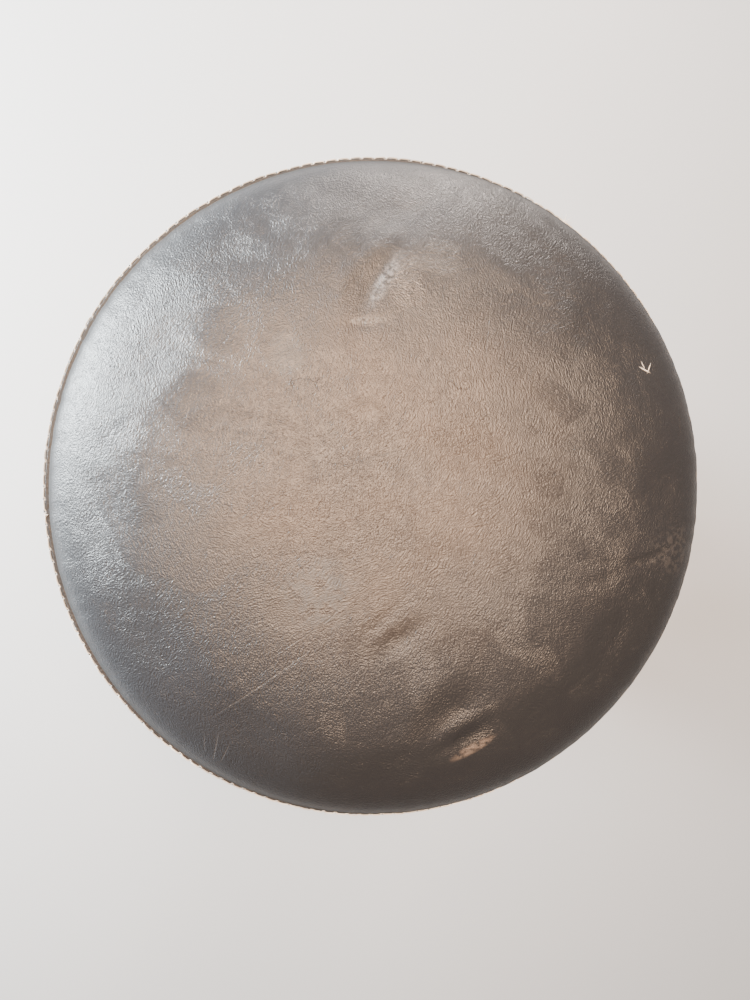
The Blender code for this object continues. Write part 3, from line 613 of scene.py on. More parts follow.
def seat_vinyl():
    """The top panel's vinyl: a painted warm sheen of brown over the middle, painted highlights and shade, and all of
    its placed wear.
    """
    place, connect = new_finish("black_vinyl_seat", specular_ior_level=0.55)
    grain = vinyl_grain(place, 0.00066)
    large = creases(place, 0.016, 0.022)
    hair = creases(place.mapped(offset=(0.3, 0.1, 0)), 0.0075, 0.035)
    cloud = place.noise(0.055, 4.0, 0.6)
    dust = place.noise(0.0045, 3.0, 0.6).between(0.58, 0.74)
    spots = {name: patch(place, *values) for name, values in PATCHES.items()}
    scratches, tear = marks(place, LONG_SCRATCHES), marks(place, TEAR_CUTS)
    scuff = spots["scuff"] * place.noise(0.004, 3.0).between(0.42, 0.60)
    rub = spots["rub"].most(marks(place, RUBBED_CREASE)) * place.noise(0.0026, 2.0).between(0.45, 0.62)
    worn = scuff * 0.8 + spots["smudge"] * 0.6 + rub * 0.45 + scratches * 0.5 + dust * 0.07
    # Painted highlights: a cool grey streak on the lit rim of the crescent dent and a tan one on the lit ridge of the
    # low dent.
    crescent_highlights = marks(place, CRESCENT_HIGHLIGHT_MARKS) * place.noise(0.0016, 2.0).between(0.35, 0.65) * 0.55
    ridge = marks(place, LOW_DENT_HIGHLIGHT_MARK) * place.noise(0.0030, 3.0).between(0.30, 0.60) * 0.5

    # Painted warm sheen: the colour is tinted brown over the middle, where the warm overhead light is mirrored.
    colour = ((cloud.between(0.25, 0.75) * 0.7 + 0.3) * spots["middle"]).mix(VINYL_BLACK, WARM_SHEEN_BROWN)
    # Painted shade: the colour is darkened along the large and fine creases.
    crease_shade = (large * 0.22 + hair * 0.14).least(1.0)
    # Laid over in turn: wear, painted crease shade, the painted highlights on the dents, and the tear's backing.
    for mask, shade in ((worn, VINYL_WORN), (crease_shade, CREASE_SHADE_BLACK), (crescent_highlights, CRESCENT_HIGHLIGHT_GREY), (ridge, LOW_DENT_HIGHLIGHT_TAN),
                        (tear, BACKING_WHITE)):
        colour = mask.mix(colour, shade)

    roughness = 0.47 + cloud * 0.02 - grain * 0.13 - spots["polish"] * 0.10 + scuff * 0.10 + tear * 0.4
    relief = grain.bump(0.00052, 1.0)
    relief = (1 - (large * 0.5 + hair * 0.4 + scratches * 0.35)).bump(0.00022, 0.8, relief)
    relief = tear.bump(0.0006, 1.0, relief)
    # Painted shade: the steep roll near the seam is mostly given over to the matt black shader.
    roll_shade = place.height().between(STEEP_TOP, STEEP_BOTTOM)
    return shaded_with_matt_black(connect(base_color=colour, roughness=roughness, normal=relief), roll_shade * 0.85)


def plain_vinyl():
    """The same vinyl with no placed wear, for the band and the seam."""
    place, connect = new_finish("black_vinyl", specular_ior_level=0.32)
    grain = vinyl_grain(place, 0.0011)
    cloud = place.noise(0.05, 4.0, 0.6)
    line = creases(place, 0.011, 0.030)
    colour = cloud.between(0.3, 0.7).mix((0.020, 0.020, 0.021), (0.030, 0.028, 0.027))
    relief = (grain - line * 0.15).bump(0.00045, 1.0)
    return connect(base_color=colour, roughness=0.46 + cloud * 0.12 - grain * 0.06, normal=relief)


seat_finish = seat_vinyl()
vinyl_finish = plain_vinyl()
print("seat vinyl:", len(seat_finish.node_tree.nodes), "nodes")

# %% [markdown]
# The cushion is foam under a stretched cover: almost flat in the middle, with a tight roll at its edge. A disc made
# of rings would bunch its points in the middle, so a square grid is squeezed into a disc instead, which keeps its
# cells even for the cloth simulation. The grid's rim is pinned along the seam, the cover is given a little too much
# material, and pressure from inside fills it, so that it settles into soft unevenness that no formula has.

# %% Grid of the cushion
CUSHION_EDGE = LIP_RADIUS - LIP_WIDTH
GRID_CELLS = 72


def crown_profile(share):
    """(radius, height) of the crown at each share of the way from its middle to its edge, along the surface. The
    crown follows height = H * (1 - (r / R)^4)^0.45."""
    turn = np.linspace(0, pi / 2, 400)
    radius = CUSHION_EDGE * np.sin(turn) ** 0.8
    height = CROWN_HEIGHT * (1 - (radius / CUSHION_EDGE) ** 4) ** 0.45
    step = np.hypot(np.diff(radius), np.diff(height))
    travelled = np.concatenate([[0], np.cumsum(step)])
    wanted = share * travelled[-1]
    return np.interp(wanted, travelled, radius), np.interp(wanted, travelled, height)


def disc_grid(cells):
    """A square grid squeezed into a unit disc: x = u * sqrt(1 - v^2 / 2), y = v * sqrt(1 - u^2 / 2)."""
    line = np.linspace(-1, 1, cells + 1)
    u, v = np.meshgrid(line, line, indexing="ij")
    return u * np.sqrt(1 - v ** 2 / 2), v * np.sqrt(1 - u ** 2 / 2)


def cushion_grid():
    """The crown on the disc grid, drawn in by the share that the pressure adds again."""
    x, y = disc_grid(GRID_CELLS)
    share = np.hypot(x, y)
    radius, height = crown_profile(share)
    with np.errstate(invalid="ignore", divide="ignore"):
        reach = np.where(share > 0, radius / share, 0)
    return np.stack([x * reach, y * reach, SEAM_Z + 0.0006 + height], -1)


def border(table):
    """The outer entries of a grid, once round."""
    return np.concatenate([table[0, :-1], table[:-1, -1], table[-1, :0:-1], table[:0:-1, 0]])


grid = cushion_grid()
print(f"cushion grid: {grid.shape[0]} x {grid.shape[1]} points, {len(border(grid))} of them on the seam")

# %% Filling the cushion by simulation
CLOTH_SETTINGS = {
    "vertex_group_mass": "held",
    "use_pressure": True,
    "uniform_pressure_force": 4,
    "tension_stiffness": 12,
    "compression_stiffness": 12,
    "shear_stiffness": 5,
    "bending_stiffness": 0.4,
    "shrink_min": -0.012,
    "quality": 6,
}
CLOTH_FRAMES = 20
SMOOTHINGS = 10
MOST_MOTION = 0.0012
SHARE_AT_RIM = 0.2


def settled(grid):
    """The grid after some frames of cloth with pressure inside and no gravity, each point held within MOST_MOTION of
    where it began. The closing bottom lies flat on the board and is pinned with the rim."""
    rows, columns = grid.shape[:2]
    loop = border(np.arange(rows * columns).reshape(rows, columns))
    below = border(grid) * (0.97, 0.97, 1) - (0, 0, 0.006)
    under = np.arange(len(loop)) + rows * columns
    faces = grid_faces(rows, columns, around=False)
    faces += np.stack([loop, np.roll(loop, -1), np.roll(under, -1), under], -1).tolist() + [under[::-1].tolist()]
    mesh = bpy.data.meshes.new("cover")
    mesh.from_pydata(np.concatenate([grid.reshape(-1, 3), below]), [], faces)
    cover = added("cover", reworked(mesh))
    held = cover.vertex_groups.new(name="held")
    held.add([int(i) for i in np.concatenate([loop, under])], 1.0, "REPLACE")
    cloth = cover.modifiers.new("cloth", "CLOTH")
    cloth.settings.effector_weights.gravity = 0
    for setting, value in CLOTH_SETTINGS.items():
        setattr(cloth.settings, setting, value)
    scene = bpy.context.scene
    for number in range(1, CLOTH_FRAMES + 1):
        scene.frame_set(number)
    graph = bpy.context.evaluated_depsgraph_get()
    after = bpy.data.meshes.new_from_object(cover.evaluated_get(graph))
    points = coordinates(after)[: rows * columns].reshape(grid.shape)
    scene.frame_set(1)
    bpy.data.objects.remove(cover)
    motion = points - grid
    for _ in range(SMOOTHINGS):
        motion[1:-1, 1:-1] = (motion[2:, 1:-1] + motion[:-2, 1:-1] + motion[1:-1, 2:] + motion[1:-1, :-2]) / 4
    length = np.linalg.norm(motion, axis=-1, keepdims=True)
    print(f"cover moved up to {length.max() * 1000:.1f} mm, mean {length.mean() * 1000:.2f} mm")
    radius = np.hypot(grid[..., 0], grid[..., 1])[..., None]
    inwards = smooth_step(radius, CUSHION_EDGE, CUSHION_EDGE - 0.05)
    most = MOST_MOTION * (SHARE_AT_RIM + (1 - SHARE_AT_RIM) * inwards)
    return grid + motion * np.minimum(1, most / np.maximum(length, 1e-9))


filled = settled(grid)
print("cushion top now at", round(filled[..., 2].max() * 1000, 2), "mm")

# %% [markdown]
# Two subdivisions make the settled grid fine enough for the marks that years of use leave, which are moved in one by
# one: a crescent dent above the middle, a lumpy one low on the right, shallow hollows where a sitter rests, and
# small puckers all round where the stitches pull at the roll. The cushion stands for the solid top panel and foam.

# %% Cushion
DENTS = (
    # x, y, along, half length, half width, depth, bend
    (-0.0111, 0.0957, 60, 0.0230, 0.0044, 0.0014, -7.0),
    (-0.0200, 0.0935, 64, 0.0120, 0.0030, 0.0007, -12.0),
    (-0.0150, 0.0752, 6, 0.0110, 0.0024, 0.0008, 10.0),
    (0.0332, -0.1127, 29, 0.0150, 0.0046, 0.0030, 4.0),
    (0.0249, -0.0997, 34, 0.0200, 0.0085, 0.0018, 0.0),
    (0.0160, -0.1070, 60, 0.0120, 0.0050, 0.0006, 0.0),
    (0.0010, -0.0640, 34, 0.0160, 0.0048, 0.0010, 0.0),
    (-0.0080, -0.0560, 40, 0.0120, 0.0030, 0.0005, 0.0),
    (0.1220, -0.0300, 12, 0.0280, 0.0020, 0.0005, 4.0),
    (0.1080, -0.0360, 16, 0.0200, 0.0022, 0.0004, 0.0),
    (0.0900, 0.0800, 60, 0.0220, 0.0060, 0.0005, 0.0),
)


def dent_depth(x, y, marks):
    """Depth at every point: each dent is a bell across and along its own line, which may be bent like a bow, with a
    low ridge beside it where the foam is pushed up."""
    total = np.zeros_like(x)
    for middle_x, middle_y, direction, half_length, half_width, depth, bend in marks:
        turn = radians(direction)
        along = (x - middle_x) * cos(turn) + (y - middle_y) * sin(turn)
        across = -(x - middle_x) * sin(turn) + (y - middle_y) * cos(turn) - bend * along ** 2
        bell = np.exp(-(along / half_length) ** 2 * 1.5 - (across / half_width) ** 2)
        ridge = np.exp(-(along / half_length) ** 2 * 1.5 - ((across - 1.9 * half_width) / half_width) ** 2)
        total += 0.62 * depth * (bell - 0.35 * ridge)
    return total


def hollows(x, y):
    """Slow unevenness of old foam, in metres: a few wide sines of mixed directions."""
    local = np.random.default_rng(5)
    total = np.zeros_like(x)
    for size in (0.21, 0.16, 0.12, 0.09, 0.07, 0.05, 0.038):
        direction, phase = local.uniform(0, pi), local.uniform(0, 2 * pi)
        wave = 2 * pi / size
        total += size * 0.0006 * np.sin(wave * (x * cos(direction) + y * sin(direction)) + phase)
    return total


def worn_cushion(filled):
    """The filled cover, made finer, with its dents, hollows and tucks, and closed underneath."""
    top = bpy.data.meshes.new("top")
    top.from_pydata(filled.reshape(-1, 3), [], grid_faces(*filled.shape[:2], around=False))
    levels = {"levels": 2, "render_levels": 2, "boundary_smooth": "PRESERVE_CORNERS"}
    top = with_modifiers(top, ("SUBSURF", levels))
    points = coordinates(top)
    x, y = points[:, 0], points[:, 1]
    radius, angle = np.hypot(x, y), np.arctan2(y, x)
    inside = smooth_step(radius, CUSHION_EDGE, CUSHION_EDGE - 0.035)
    points[:, 2] -= dent_depth(x, y, DENTS) + hollows(x, y) * inside
    roll = np.exp(-((radius - CUSHION_EDGE + 0.004) / 0.008) ** 2)
    tucks = ripples(angle, (31, 44, 58, 73, 97, 120), 3) * (0.6 + 0.4 * ripples(angle, (2, 3, 5), 8))
    pull = 0.00017 * tucks * roll
    points[:, :2] *= (1 - pull / np.maximum(radius, 0.01))[:, None]
    points[:, 2] -= pull * 0.8
    set_coordinates(top, points)
    reworked(top, close_hole)
    top.shade_smooth()
    top.set_sharp_from_angle(angle=radians(60))
    return top


cushion = piece("seat_cushion", worn_cushion(filled), seat_finish, "seat", "vinyl", ("top_panel", "foam_pad"))
print(len(cushion.data.polygons), "faces on the cushion")

# %% [markdown]
# Top panel and side band are sewn back to back, so both raw edges stand out as a narrow lip, with their pale fabric
# backing between them. Seen close, such a lip is never round: it waves a little in and out, and the thread pulls it
# in at every stitch. So each layer is a thin ring whose outer edge moves with the angle.

# %% Lip of the seam
STITCHES = 171
LIP_SIDES = STITCHES * 8


LIP_INNER = CUSHION_EDGE - 0.0012
EDGE_WANDER = 0.00022
STITCH_PINCH = 0.00016
LAYER_LIFT = 0.00018


def lip_edge(angle, reach, seed):
    """Radius of a layer's raw edge: reach, a slow wander, and a small notch at every stitch."""
    notch = np.cos(STITCHES * angle) ** 8
    return reach + EDGE_WANDER * ripples(angle, (7, 11, 19, 26, 41), seed) - STITCH_PINCH * notch


def layer(reach, low_z, high_z, seed):
    """A thin ring whose rows go round its section, from the inner corner below to the inner corner above. Each row
    has a share of the way out to the raw edge, a cut that rounds the edge off, and a height."""
    angle = turns(LIP_SIDES)
    width = lip_edge(angle, reach, seed) - LIP_INNER
    lift = LAYER_LIFT * ripples(angle, (5, 9, 16, 23, 34), seed + 1)
    cut = (high_z - low_z) * 0.3
    rows = ((0.0, 0, low_z), (0.5, 0, low_z), (1.0, cut, low_z), (1.0, 0, low_z), (1.0, 0, high_z - cut),
            (1.0, cut, high_z), (0.5, 0, high_z), (0.0, 0, high_z))
    share, cuts, height = np.array(rows).T[:, :, None]
    return shell(polar(LIP_INNER + width * share - cuts, angle, height + lift * share), along=True)


def backing_cloth():
    """Off-white knitted backing, grey with handling."""
    place, connect = new_finish("cover_backing", roughness=0.9)
    weave = place.noise(0.0006, 2.0)
    dirt = place.noise(0.008, 3.0).between(0.35, 0.65)
    colour = dirt.mix((0.30, 0.28, 0.25), (0.13, 0.12, 0.11))
    return connect(base_color=colour, normal=weave.bump(0.0002, 0.8))


SEAM_LAYERS = (
    # name, how far its raw edge stays inside the lip, bottom and top from the seam's height, seed, finish
    ("seam_upper_layer", 0.0016, 0.0002, 0.0011, 11, vinyl_finish),
    ("seam_lower_layer", 0.0004, -0.0012, -0.0002, 21, vinyl_finish),
    ("seam_backing", 0.0014, -0.0002, 0.0003, 11, backing_cloth()),
)
for name, inset, bottom, top, seed, finish in SEAM_LAYERS:
    ring = layer(LIP_RADIUS - inset, SEAM_Z + bottom, SEAM_Z + top, seed)
    piece(name, make_mesh(name, [ring]), finish, "seat", "vinyl")
    print(name, "reaches", round(np.hypot(*ring[0][:, :2].T).max() * 1000, 2), "mm")

# %% [markdown]
# The thread is thick and off-white. On top it runs in straight stitches of 6 mm, and at the end of each it turns
# inwards and dives through both layers. A tube round that path shows it: the path is a circle whose radius dips at
# each stitch end, and whose height dives there. The tube has six sides, because it is only 0.7 mm thick.

# %% Thread of the seam
THREAD_RADIUS = 0.00036
THREAD_REACH = LIP_RADIUS - 0.00080


def thread_path(angle):
    """Points of the thread's middle: on the lip, with a hook inwards and a dive at each stitch end."""
    phase = (STITCHES * angle / (2 * pi)) % 1
    near_end = np.exp(-((phase - 0.93) / 0.055) ** 2)
    hook = np.exp(-((phase - 0.86) / 0.10) ** 2)
    wander = 0.00018 * ripples(angle, (13, 29, 47, 83), 31)
    radius = THREAD_REACH + wander - 0.00085 * hook
    height = SEAM_Z + 0.00050 + 0.00022 * np.sin(pi * phase) - 0.0010 * near_end
    return polar(radius, angle, height)


def tube(path, radius, sides, closed=False):
    """A round tube along a path: each point plus radius times a circle in the plane across the path, whose first
    axis is level."""
    if closed:
        ahead = np.roll(path, -1, axis=0) - np.roll(path, 1, axis=0)
    else:
        ahead = np.gradient(path, axis=0)
    ahead /= np.linalg.norm(ahead, axis=1, keepdims=True)
    level = np.cross(ahead, np.where(np.abs(ahead[:, 2:]) > 0.9, (1.0, 0, 0), (0, 0, 1.0)))
    level /= np.linalg.norm(level, axis=1, keepdims=True)
    other = np.cross(ahead, level)
    turn = turns(sides)[:, None]
    thick = np.broadcast_to(radius, len(path))[:, None, None]
    return path[:, None] + thick * (np.cos(turn) * level[:, None] + np.sin(turn) * other[:, None])


over_path = thread_path(turns(STITCHES * 12))
under_path = over_path * (0.9985, 0.9985, 0) + (0, 0, SEAM_Z - 0.0013)
threads = [shell(tube(path, THREAD_RADIUS, 6, closed=True), along=True) for path in (over_path, under_path)]


def thread_cotton():
    """Twisted cotton, off-white and greyed in places, with fine fibres as relief."""
    place, connect = new_finish("seam_thread", roughness=0.8)
    fibre = place.noise(0.0004, 2.0)
    dirt = place.noise(0.012, 3.0).between(0.3, 0.7)
    colour = dirt.mix((0.66, 0.65, 0.61), (0.36, 0.35, 0.33))
    return connect(base_color=colour, normal=fibre.bump(0.0002, 0.9))


thread_finish = thread_cotton()
piece("seam_thread", make_mesh("seam_thread", threads), thread_finish, "seat", "vinyl")


def tuft(middle, count, length, seed):
    """Frayed ends of thread that stand off the seam, each a thin curve that starts at middle and bends away."""
    local = np.random.default_rng(seed)
    t = np.linspace(0, 1, 9)[:, None]
    strands = []
    for _ in range(count):
        out = local.normal(0, 1, 3) * (1, 1, 0.4)
        out /= np.linalg.norm(out)
        side = local.normal(0, 0.6, 3) * (1, 1, 0.5)
        path = np.asarray(middle) + length * local.uniform(0.5, 1) * (out * t + side * t ** 2 * 0.6)
        path[:, 2] = np.maximum(path[:, 2], middle[2] - 0.0004)
        strands.append(shell(tube(path, 0.00017 * (1 - 0.5 * t[:, 0]), 5), capped=True))
    return strands


FRAYED = (
    # name, degrees round the seam, height above it, strands, length, seed
    ("thread_tuft", 56.6, 0.0012, 13, 0.0042, 6),
    ("thread_knot", 183.4, 0.0010, 9, 0.0016, 9),
)
for name, direction, rise, count, length, seed in FRAYED:
    middle = polar(LIP_RADIUS - 0.0012, radians(direction), SEAM_Z + rise)
    piece(name, make_mesh(name, tuft(middle, count, length, seed)), thread_finish, "seat", "vinyl")
print("seam sewn with", STITCHES, "stitches of", round(2 * pi * THREAD_REACH / STITCHES * 1000, 2), "mm")

# %% [markdown]
# The side band is one strip of vinyl, sewn to the top panel above and stapled under the board below. Pulled tight
# over a round edge it can't lie flat: it gathers into pleats where it turns under. Its section is a path from the
# seam down the side, round the corner and in under the board. Going round, the radius ripples with the stitches
# just below the seam, and the turned-under part waves up and down in pleats.

# %% Side band
BAND_SIDES = 720
BAND_THICKNESS = 0.0011
JOIN_ANGLE = radians(268)


def band_section(angle, inset):
    """Rows of (radius, height) for the band's outer skin, or its inner one when inset by the vinyl's thickness."""
    height = SEAM_Z - 0.0014
    drop = height - WRAP_Z
    corners = [(LIP_INNER - 0.0005, height), (BAND_RADIUS - 0.0010, height - 0.0010), (BAND_RADIUS, height - 0.010),
               (BAND_RADIUS + 0.0003, height - drop * 0.6), (BAND_RADIUS - 0.0004, WRAP_Z + 0.005),
               (BAND_RADIUS - 0.0050, WRAP_Z), (WRAP_INNER + 0.010, WRAP_Z), (WRAP_INNER, WRAP_Z)]
    path = spaced(softened(corners, 0.004, 7), np.linspace(0, 1, 46))
    ahead = np.gradient(path, axis=0)
    ahead /= np.linalg.norm(ahead, axis=1, keepdims=True)
    path = path + inset * np.stack([ahead[:, 1], -ahead[:, 0]], -1)
    radius, level = np.repeat(path[:, :1], len(angle), 1), np.repeat(path[:, 1:], len(angle), 1)
    below_seam = np.exp(-((level - height + 0.003) / 0.0035) ** 2)
    radius -= below_seam * (0.00035 + 0.00035 * ripples(angle, (47, 61, 83, 109), 41))
    side = smooth_step(level, WRAP_Z + 0.002, WRAP_Z + 0.010) * (1 - below_seam)
    radius += side * 0.00045 * ripples(angle, (6, 9, 13, 21), 43)
    turned_under = smooth_step(radius, BAND_RADIUS - 0.003, WRAP_INNER + 0.002)
    pleat = np.abs(np.sin(angle * 39 + 1.5 * np.sin(angle * 5) + 0.9 * np.sin(angle * 17))) ** 0.6
    level += turned_under * 0.0016 * (pleat - 0.2)
    past_join = angle - JOIN_ANGLE
    join = np.exp(-(past_join / 0.012) ** 2) - 0.6 * np.exp(-((past_join - radians(2)) / 0.006) ** 2)
    radius += side * 0.0009 * join
    return radius, level


def band_skin(inset):
    """One skin of the band, all the way round."""
    angle = turns(BAND_SIDES)
    radius, level = band_section(angle, inset)
    return polar(radius, angle, level)


band = np.concatenate([band_skin(0), band_skin(BAND_THICKNESS)[::-1]])
piece("seat_band", make_mesh("seat_band", [shell(band, along=True)], radians(50)), vinyl_finish, "seat", "vinyl",
      ("side_band",))
print("side band from", round(band[..., 2].min() * 1000, 1), "to", round(band[..., 2].max() * 1000, 1), "mm")

# %% [markdown]
# A black non-woven cloth closes the underside. It is thin and limp, so it shows the step of the turned-under cover
# beneath it and a few slack wrinkles between its staples. One skin is worked out as a height for every radius and
# angle, and a second one just above it closes the sheet.

# %% Dust cloth and staples
CLOTH_RADIUS = high("dust_cloth", 0)
CLOTH_LOW = low("dust_cloth")
STAPLES = 30


def cloth_height(radius, angle):
    """Flat in the middle, 1.5 mm lower over the turned-under cover, with wrinkles that run to each staple."""
    step = smooth_step(radius, WRAP_INNER - 0.007, WRAP_INNER - 0.0005)
    height = high("dust_cloth") - 0.0006 + (CLOTH_LOW - high("dust_cloth") + 0.0010) * step
    away = smooth_step(radius, 0.085, 0.120) * smooth_step(radius, CLOTH_RADIUS + 0.001, CLOTH_RADIUS - 0.012)
    waves = 0.5 + 0.5 * np.sin(STAPLES * angle + 2.0 * np.sin(3 * angle))
    slack = 0.5 + 0.5 * ripples(angle, (4, 7, 11, 18, 27), 53)
    return height - away * (0.0009 * waves + 0.0010 * slack)


def dust_cover():
    """Two skins half a millimetre apart, out to an edge that was cut by hand."""
    radius = np.concatenate([[0.0], np.linspace(0.012, CLOTH_RADIUS, 60)])
    wide, turn = np.meshgrid(radius, turns(480), indexing="ij")
    edge = wide + np.where(wide >= CLOTH_RADIUS - 1e-6, 0.0007 * ripples(turn, (9, 23, 51), 55), 0)
    below = polar(edge, turn, cloth_height(wide, turn))
    above = below + (0, 0, 0.0005)
    return make_mesh("dust_cover", [shell(np.concatenate([below, above[::-1]]))], radians(60))


def dust_fabric():
    """Black spun-bonded cloth: short pressed fibres in every direction, greyed by dust."""
    place, connect = new_finish("dust_fabric", roughness=0.95, specular_ior_level=0.2)
    lying = ((0.6, 0.0006), (2.2, 0.0007))
    fibres = strongest([place.mapped(turn=(0, 0, turn), scale=(3.5, 1, 1)).noise(size, 2.0) for turn, size in lying])
    lint = place.noise(0.02, 5.0, 0.65).between(0.45, 0.75)
    colour = (lint * 0.8 + fibres * 0.2).mix((0.016, 0.016, 0.017), (0.055, 0.053, 0.050))
    return connect(base_color=colour, normal=fibres.bump(0.0003, 0.9))


def staple(angle, radius, tilt, height):
    """A wire staple: a level crown between two short legs, a rounded rectangle of wire."""
    half, leg, crown = 0.0052, 0.0012, -0.0002
    path = softened([(-half, leg), (-half, crown), (half, crown), (half, leg)], 0.0007, 3)
    line = np.stack([path[:, 0], np.zeros(len(path)), path[:, 1]], -1)
    place = Matrix.Rotation(angle, 4, "Z") @ Matrix.Translation((radius, 0, height))
    return shell(moved(tube(line, 0.00034, 6), place @ Matrix.Rotation(pi / 2 + tilt, 4, "Z")), capped=True)


def staple_row():
    """Staples round the edge of the cloth, none quite in line with the next."""
    angles = 2 * pi * (np.arange(STAPLES) + rng.uniform(-0.18, 0.18, STAPLES)) / STAPLES
    radii = CLOTH_RADIUS - 0.0055 + rng.uniform(-0.0012, 0.0012, STAPLES)
    tilts = rng.normal(0, 0.14, STAPLES)
    heights = cloth_height(radii, angles) - 0.0002
    return [staple(*values) for values in zip(angles, radii, tilts, heights)]


piece("dust_cover", dust_cover(), dust_fabric(), "seat", "dust_cloth", ("dust_cloth",))
print("dust cloth", round(CLOTH_RADIUS * 2000, 1), "mm across")

# %% [markdown]
# Two platings, a powder coat, two plastics and the plywood of the board make the rest. Each has its own small
# unevenness: chrome is smooth with hairline scratches and pits, black powder coat is pebbled like orange peel, zinc
# plating is cloudy, nylon is satin with scuffs, rubber is matt with dust in it, and plywood has grain and plies.

# %% Metals and plastics
def hairlines(place, size):
    """Fine scratches in three directions: noise stretched twenty times, and only its crests kept."""
    turned = [place.mapped(turn=turn, scale=(22, 1, 1)) for turn in ((0.3, 0.2, 0.5), (1.1, 0.7, 2.0), (0.5, 1.9, 1.2))]
    return strongest([along.noise(size, 1.0).between(0.66, 0.74) for along in turned])


def chrome_plate():
    """Bright nickel and chrome, hazy in places, with hairlines and a few rusty pits."""
    place, connect = new_finish("chrome_plate", metallic=1.0)
    scratch = hairlines(place, 0.0008)
    pits = place.cells(0.0045).between(0.12, 0.05) * place.noise(0.03, 2.0).between(0.55, 0.70)
    haze = place.noise(0.035, 4.0, 0.6)
    colour = pits.mix((0.66, 0.67, 0.69), (0.20, 0.13, 0.09))
    roughness = 0.07 + haze * 0.12 + scratch * 0.18 + pits * 0.4
    return connect(base_color=colour, roughness=roughness, normal=(scratch * 0.3 + pits).bump(0.00004, 0.5))


def powder_coat():
    """Black paint with the texture of orange peel, thinner and greyer where it is rubbed."""
    place, connect = new_finish("powder_coat", specular_ior_level=0.5)
    peel = place.noise(0.0016, 2.0)
    wear = place.noise(0.010, 5.0, 0.7).between(0.66, 0.76)
    colour = wear.mix((0.016, 0.016, 0.017), (0.060, 0.058, 0.055))
    roughness = 0.34 + place.noise(0.02, 3.0) * 0.18 + wear * 0.15
    return connect(base_color=colour, roughness=roughness, normal=peel.bump(0.00012, 0.8))


def zinc_plate():
    """Dull grey plating, cloudy and a little yellow in places."""
    place, connect = new_finish("zinc_plate", metallic=1.0)
    cloud = place.noise(0.006, 4.0, 0.65)
    scratch = hairlines(place, 0.0006)
    colour = cloud.between(0.35, 0.70).mix((0.58, 0.58, 0.55), (0.42, 0.41, 0.36))
    return connect(base_color=colour, roughness=0.26 + cloud * 0.22 + scratch * 0.15,
                   normal=cloud.bump(0.00004, 0.6))


def black_nylon():
    """Satin black plastic with scuffs."""
    place, connect = new_finish("black_nylon")
    grain = place.noise(0.0009, 2.0)
    scuff = place.noise(0.008, 5.0, 0.7).between(0.60, 0.72)
    colour = scuff.mix((0.025, 0.025, 0.026), (0.070, 0.068, 0.065))
    return connect(base_color=colour, roughness=0.42 + scuff * 0.25, normal=grain.bump(0.00005, 0.7))


def black_rubber():
    """Matt rubber with dust in its skin."""
    place, connect = new_finish("black_rubber", specular_ior_level=0.25)
    dust = place.noise(0.012, 6.0, 0.7).between(0.48, 0.72)
    speck = place.cells(0.0022).between(0.18, 0.05) * 0.5
    colour = (dust * 0.8 + speck).least(1.0).mix((0.012, 0.012, 0.013), (0.046, 0.044, 0.040))
    skin = place.noise(0.0012, 3.0)
    return connect(base_color=colour, roughness=0.72 + dust * 0.2, normal=skin.bump(0.00012, 0.7))


def birch_plywood():
    """Pale wood: long grain on the faces and thin plies at the edge."""
    place, connect = new_finish("birch_plywood", roughness=0.7)
    grain = place.mapped(scale=(14, 1, 1)).noise(0.004, 4.0, 0.6)
    ply = place.node("TexWave", {"wave_type": "BANDS", "bands_direction": "Z"},
                     {"Vector": place, "Scale": 130.0, "Distortion": 0.6}, output=1)
    colour = (grain * 0.6 + ply * 0.4).between(0.3, 0.7).mix((0.42, 0.27, 0.14), (0.62, 0.44, 0.26))
    return connect(base_color=colour, normal=grain.bump(0.0001, 0.6))


chrome, paint, zinc, nylon, rubber = chrome_plate(), powder_coat(), zinc_plate(), black_nylon(), black_rubber()
plywood = birch_plywood()
piece("cloth_staples", make_mesh("cloth_staples", staple_row()), zinc, "seat", "zinc_steel")
for node, finish in {"seat_board": plywood, **{f"tee_nut_{n}": zinc for n in range(1, 5)}}.items():
    frame["nodes"][node].data.materials.clear()
    frame["nodes"][node].data.materials.append(finish)
print(STAPLES, "staples; six more finishes made")

# %% [markdown]
# Under the cloth sits a pressed steel plate. Pressed plates have shallow ribs for stiffness and a rim that turns
# over, and the socket for the post is welded under the middle. The whole bracket is one turned section, but the
# plate's height also depends on the angle, which makes the ribs, and the weld's thickness has the small scallops
# of a bead laid by hand.

# %% Seat bracket
PLATE_TOP = high("seat_bracket")
PLATE_RADIUS = high("seat_bracket", 0)
SOCKET_BOTTOM = low("seat_bracket")
PLATE_LOW = PLATE_TOP - 0.003
SOCKET_RADIUS = 0.0172
SOCKET_WALL = 0.0045
SOCKET_BORE = SOCKET_RADIUS - SOCKET_WALL
BEAD = 0.0062


def rib_depth(radius, angle):
    """Four ribs between the bolts: 1.8 mm deep, 13 mm wide, with round ends."""
    across = radius * np.sin(angle % (pi / 2) - pi / 4)
    along = smooth_step(radius, 0.028, 0.036) * smooth_step(radius, 0.073, 0.066)
    return 0.0018 * along * smooth_step(np.abs(across), 0.0068, 0.0038)


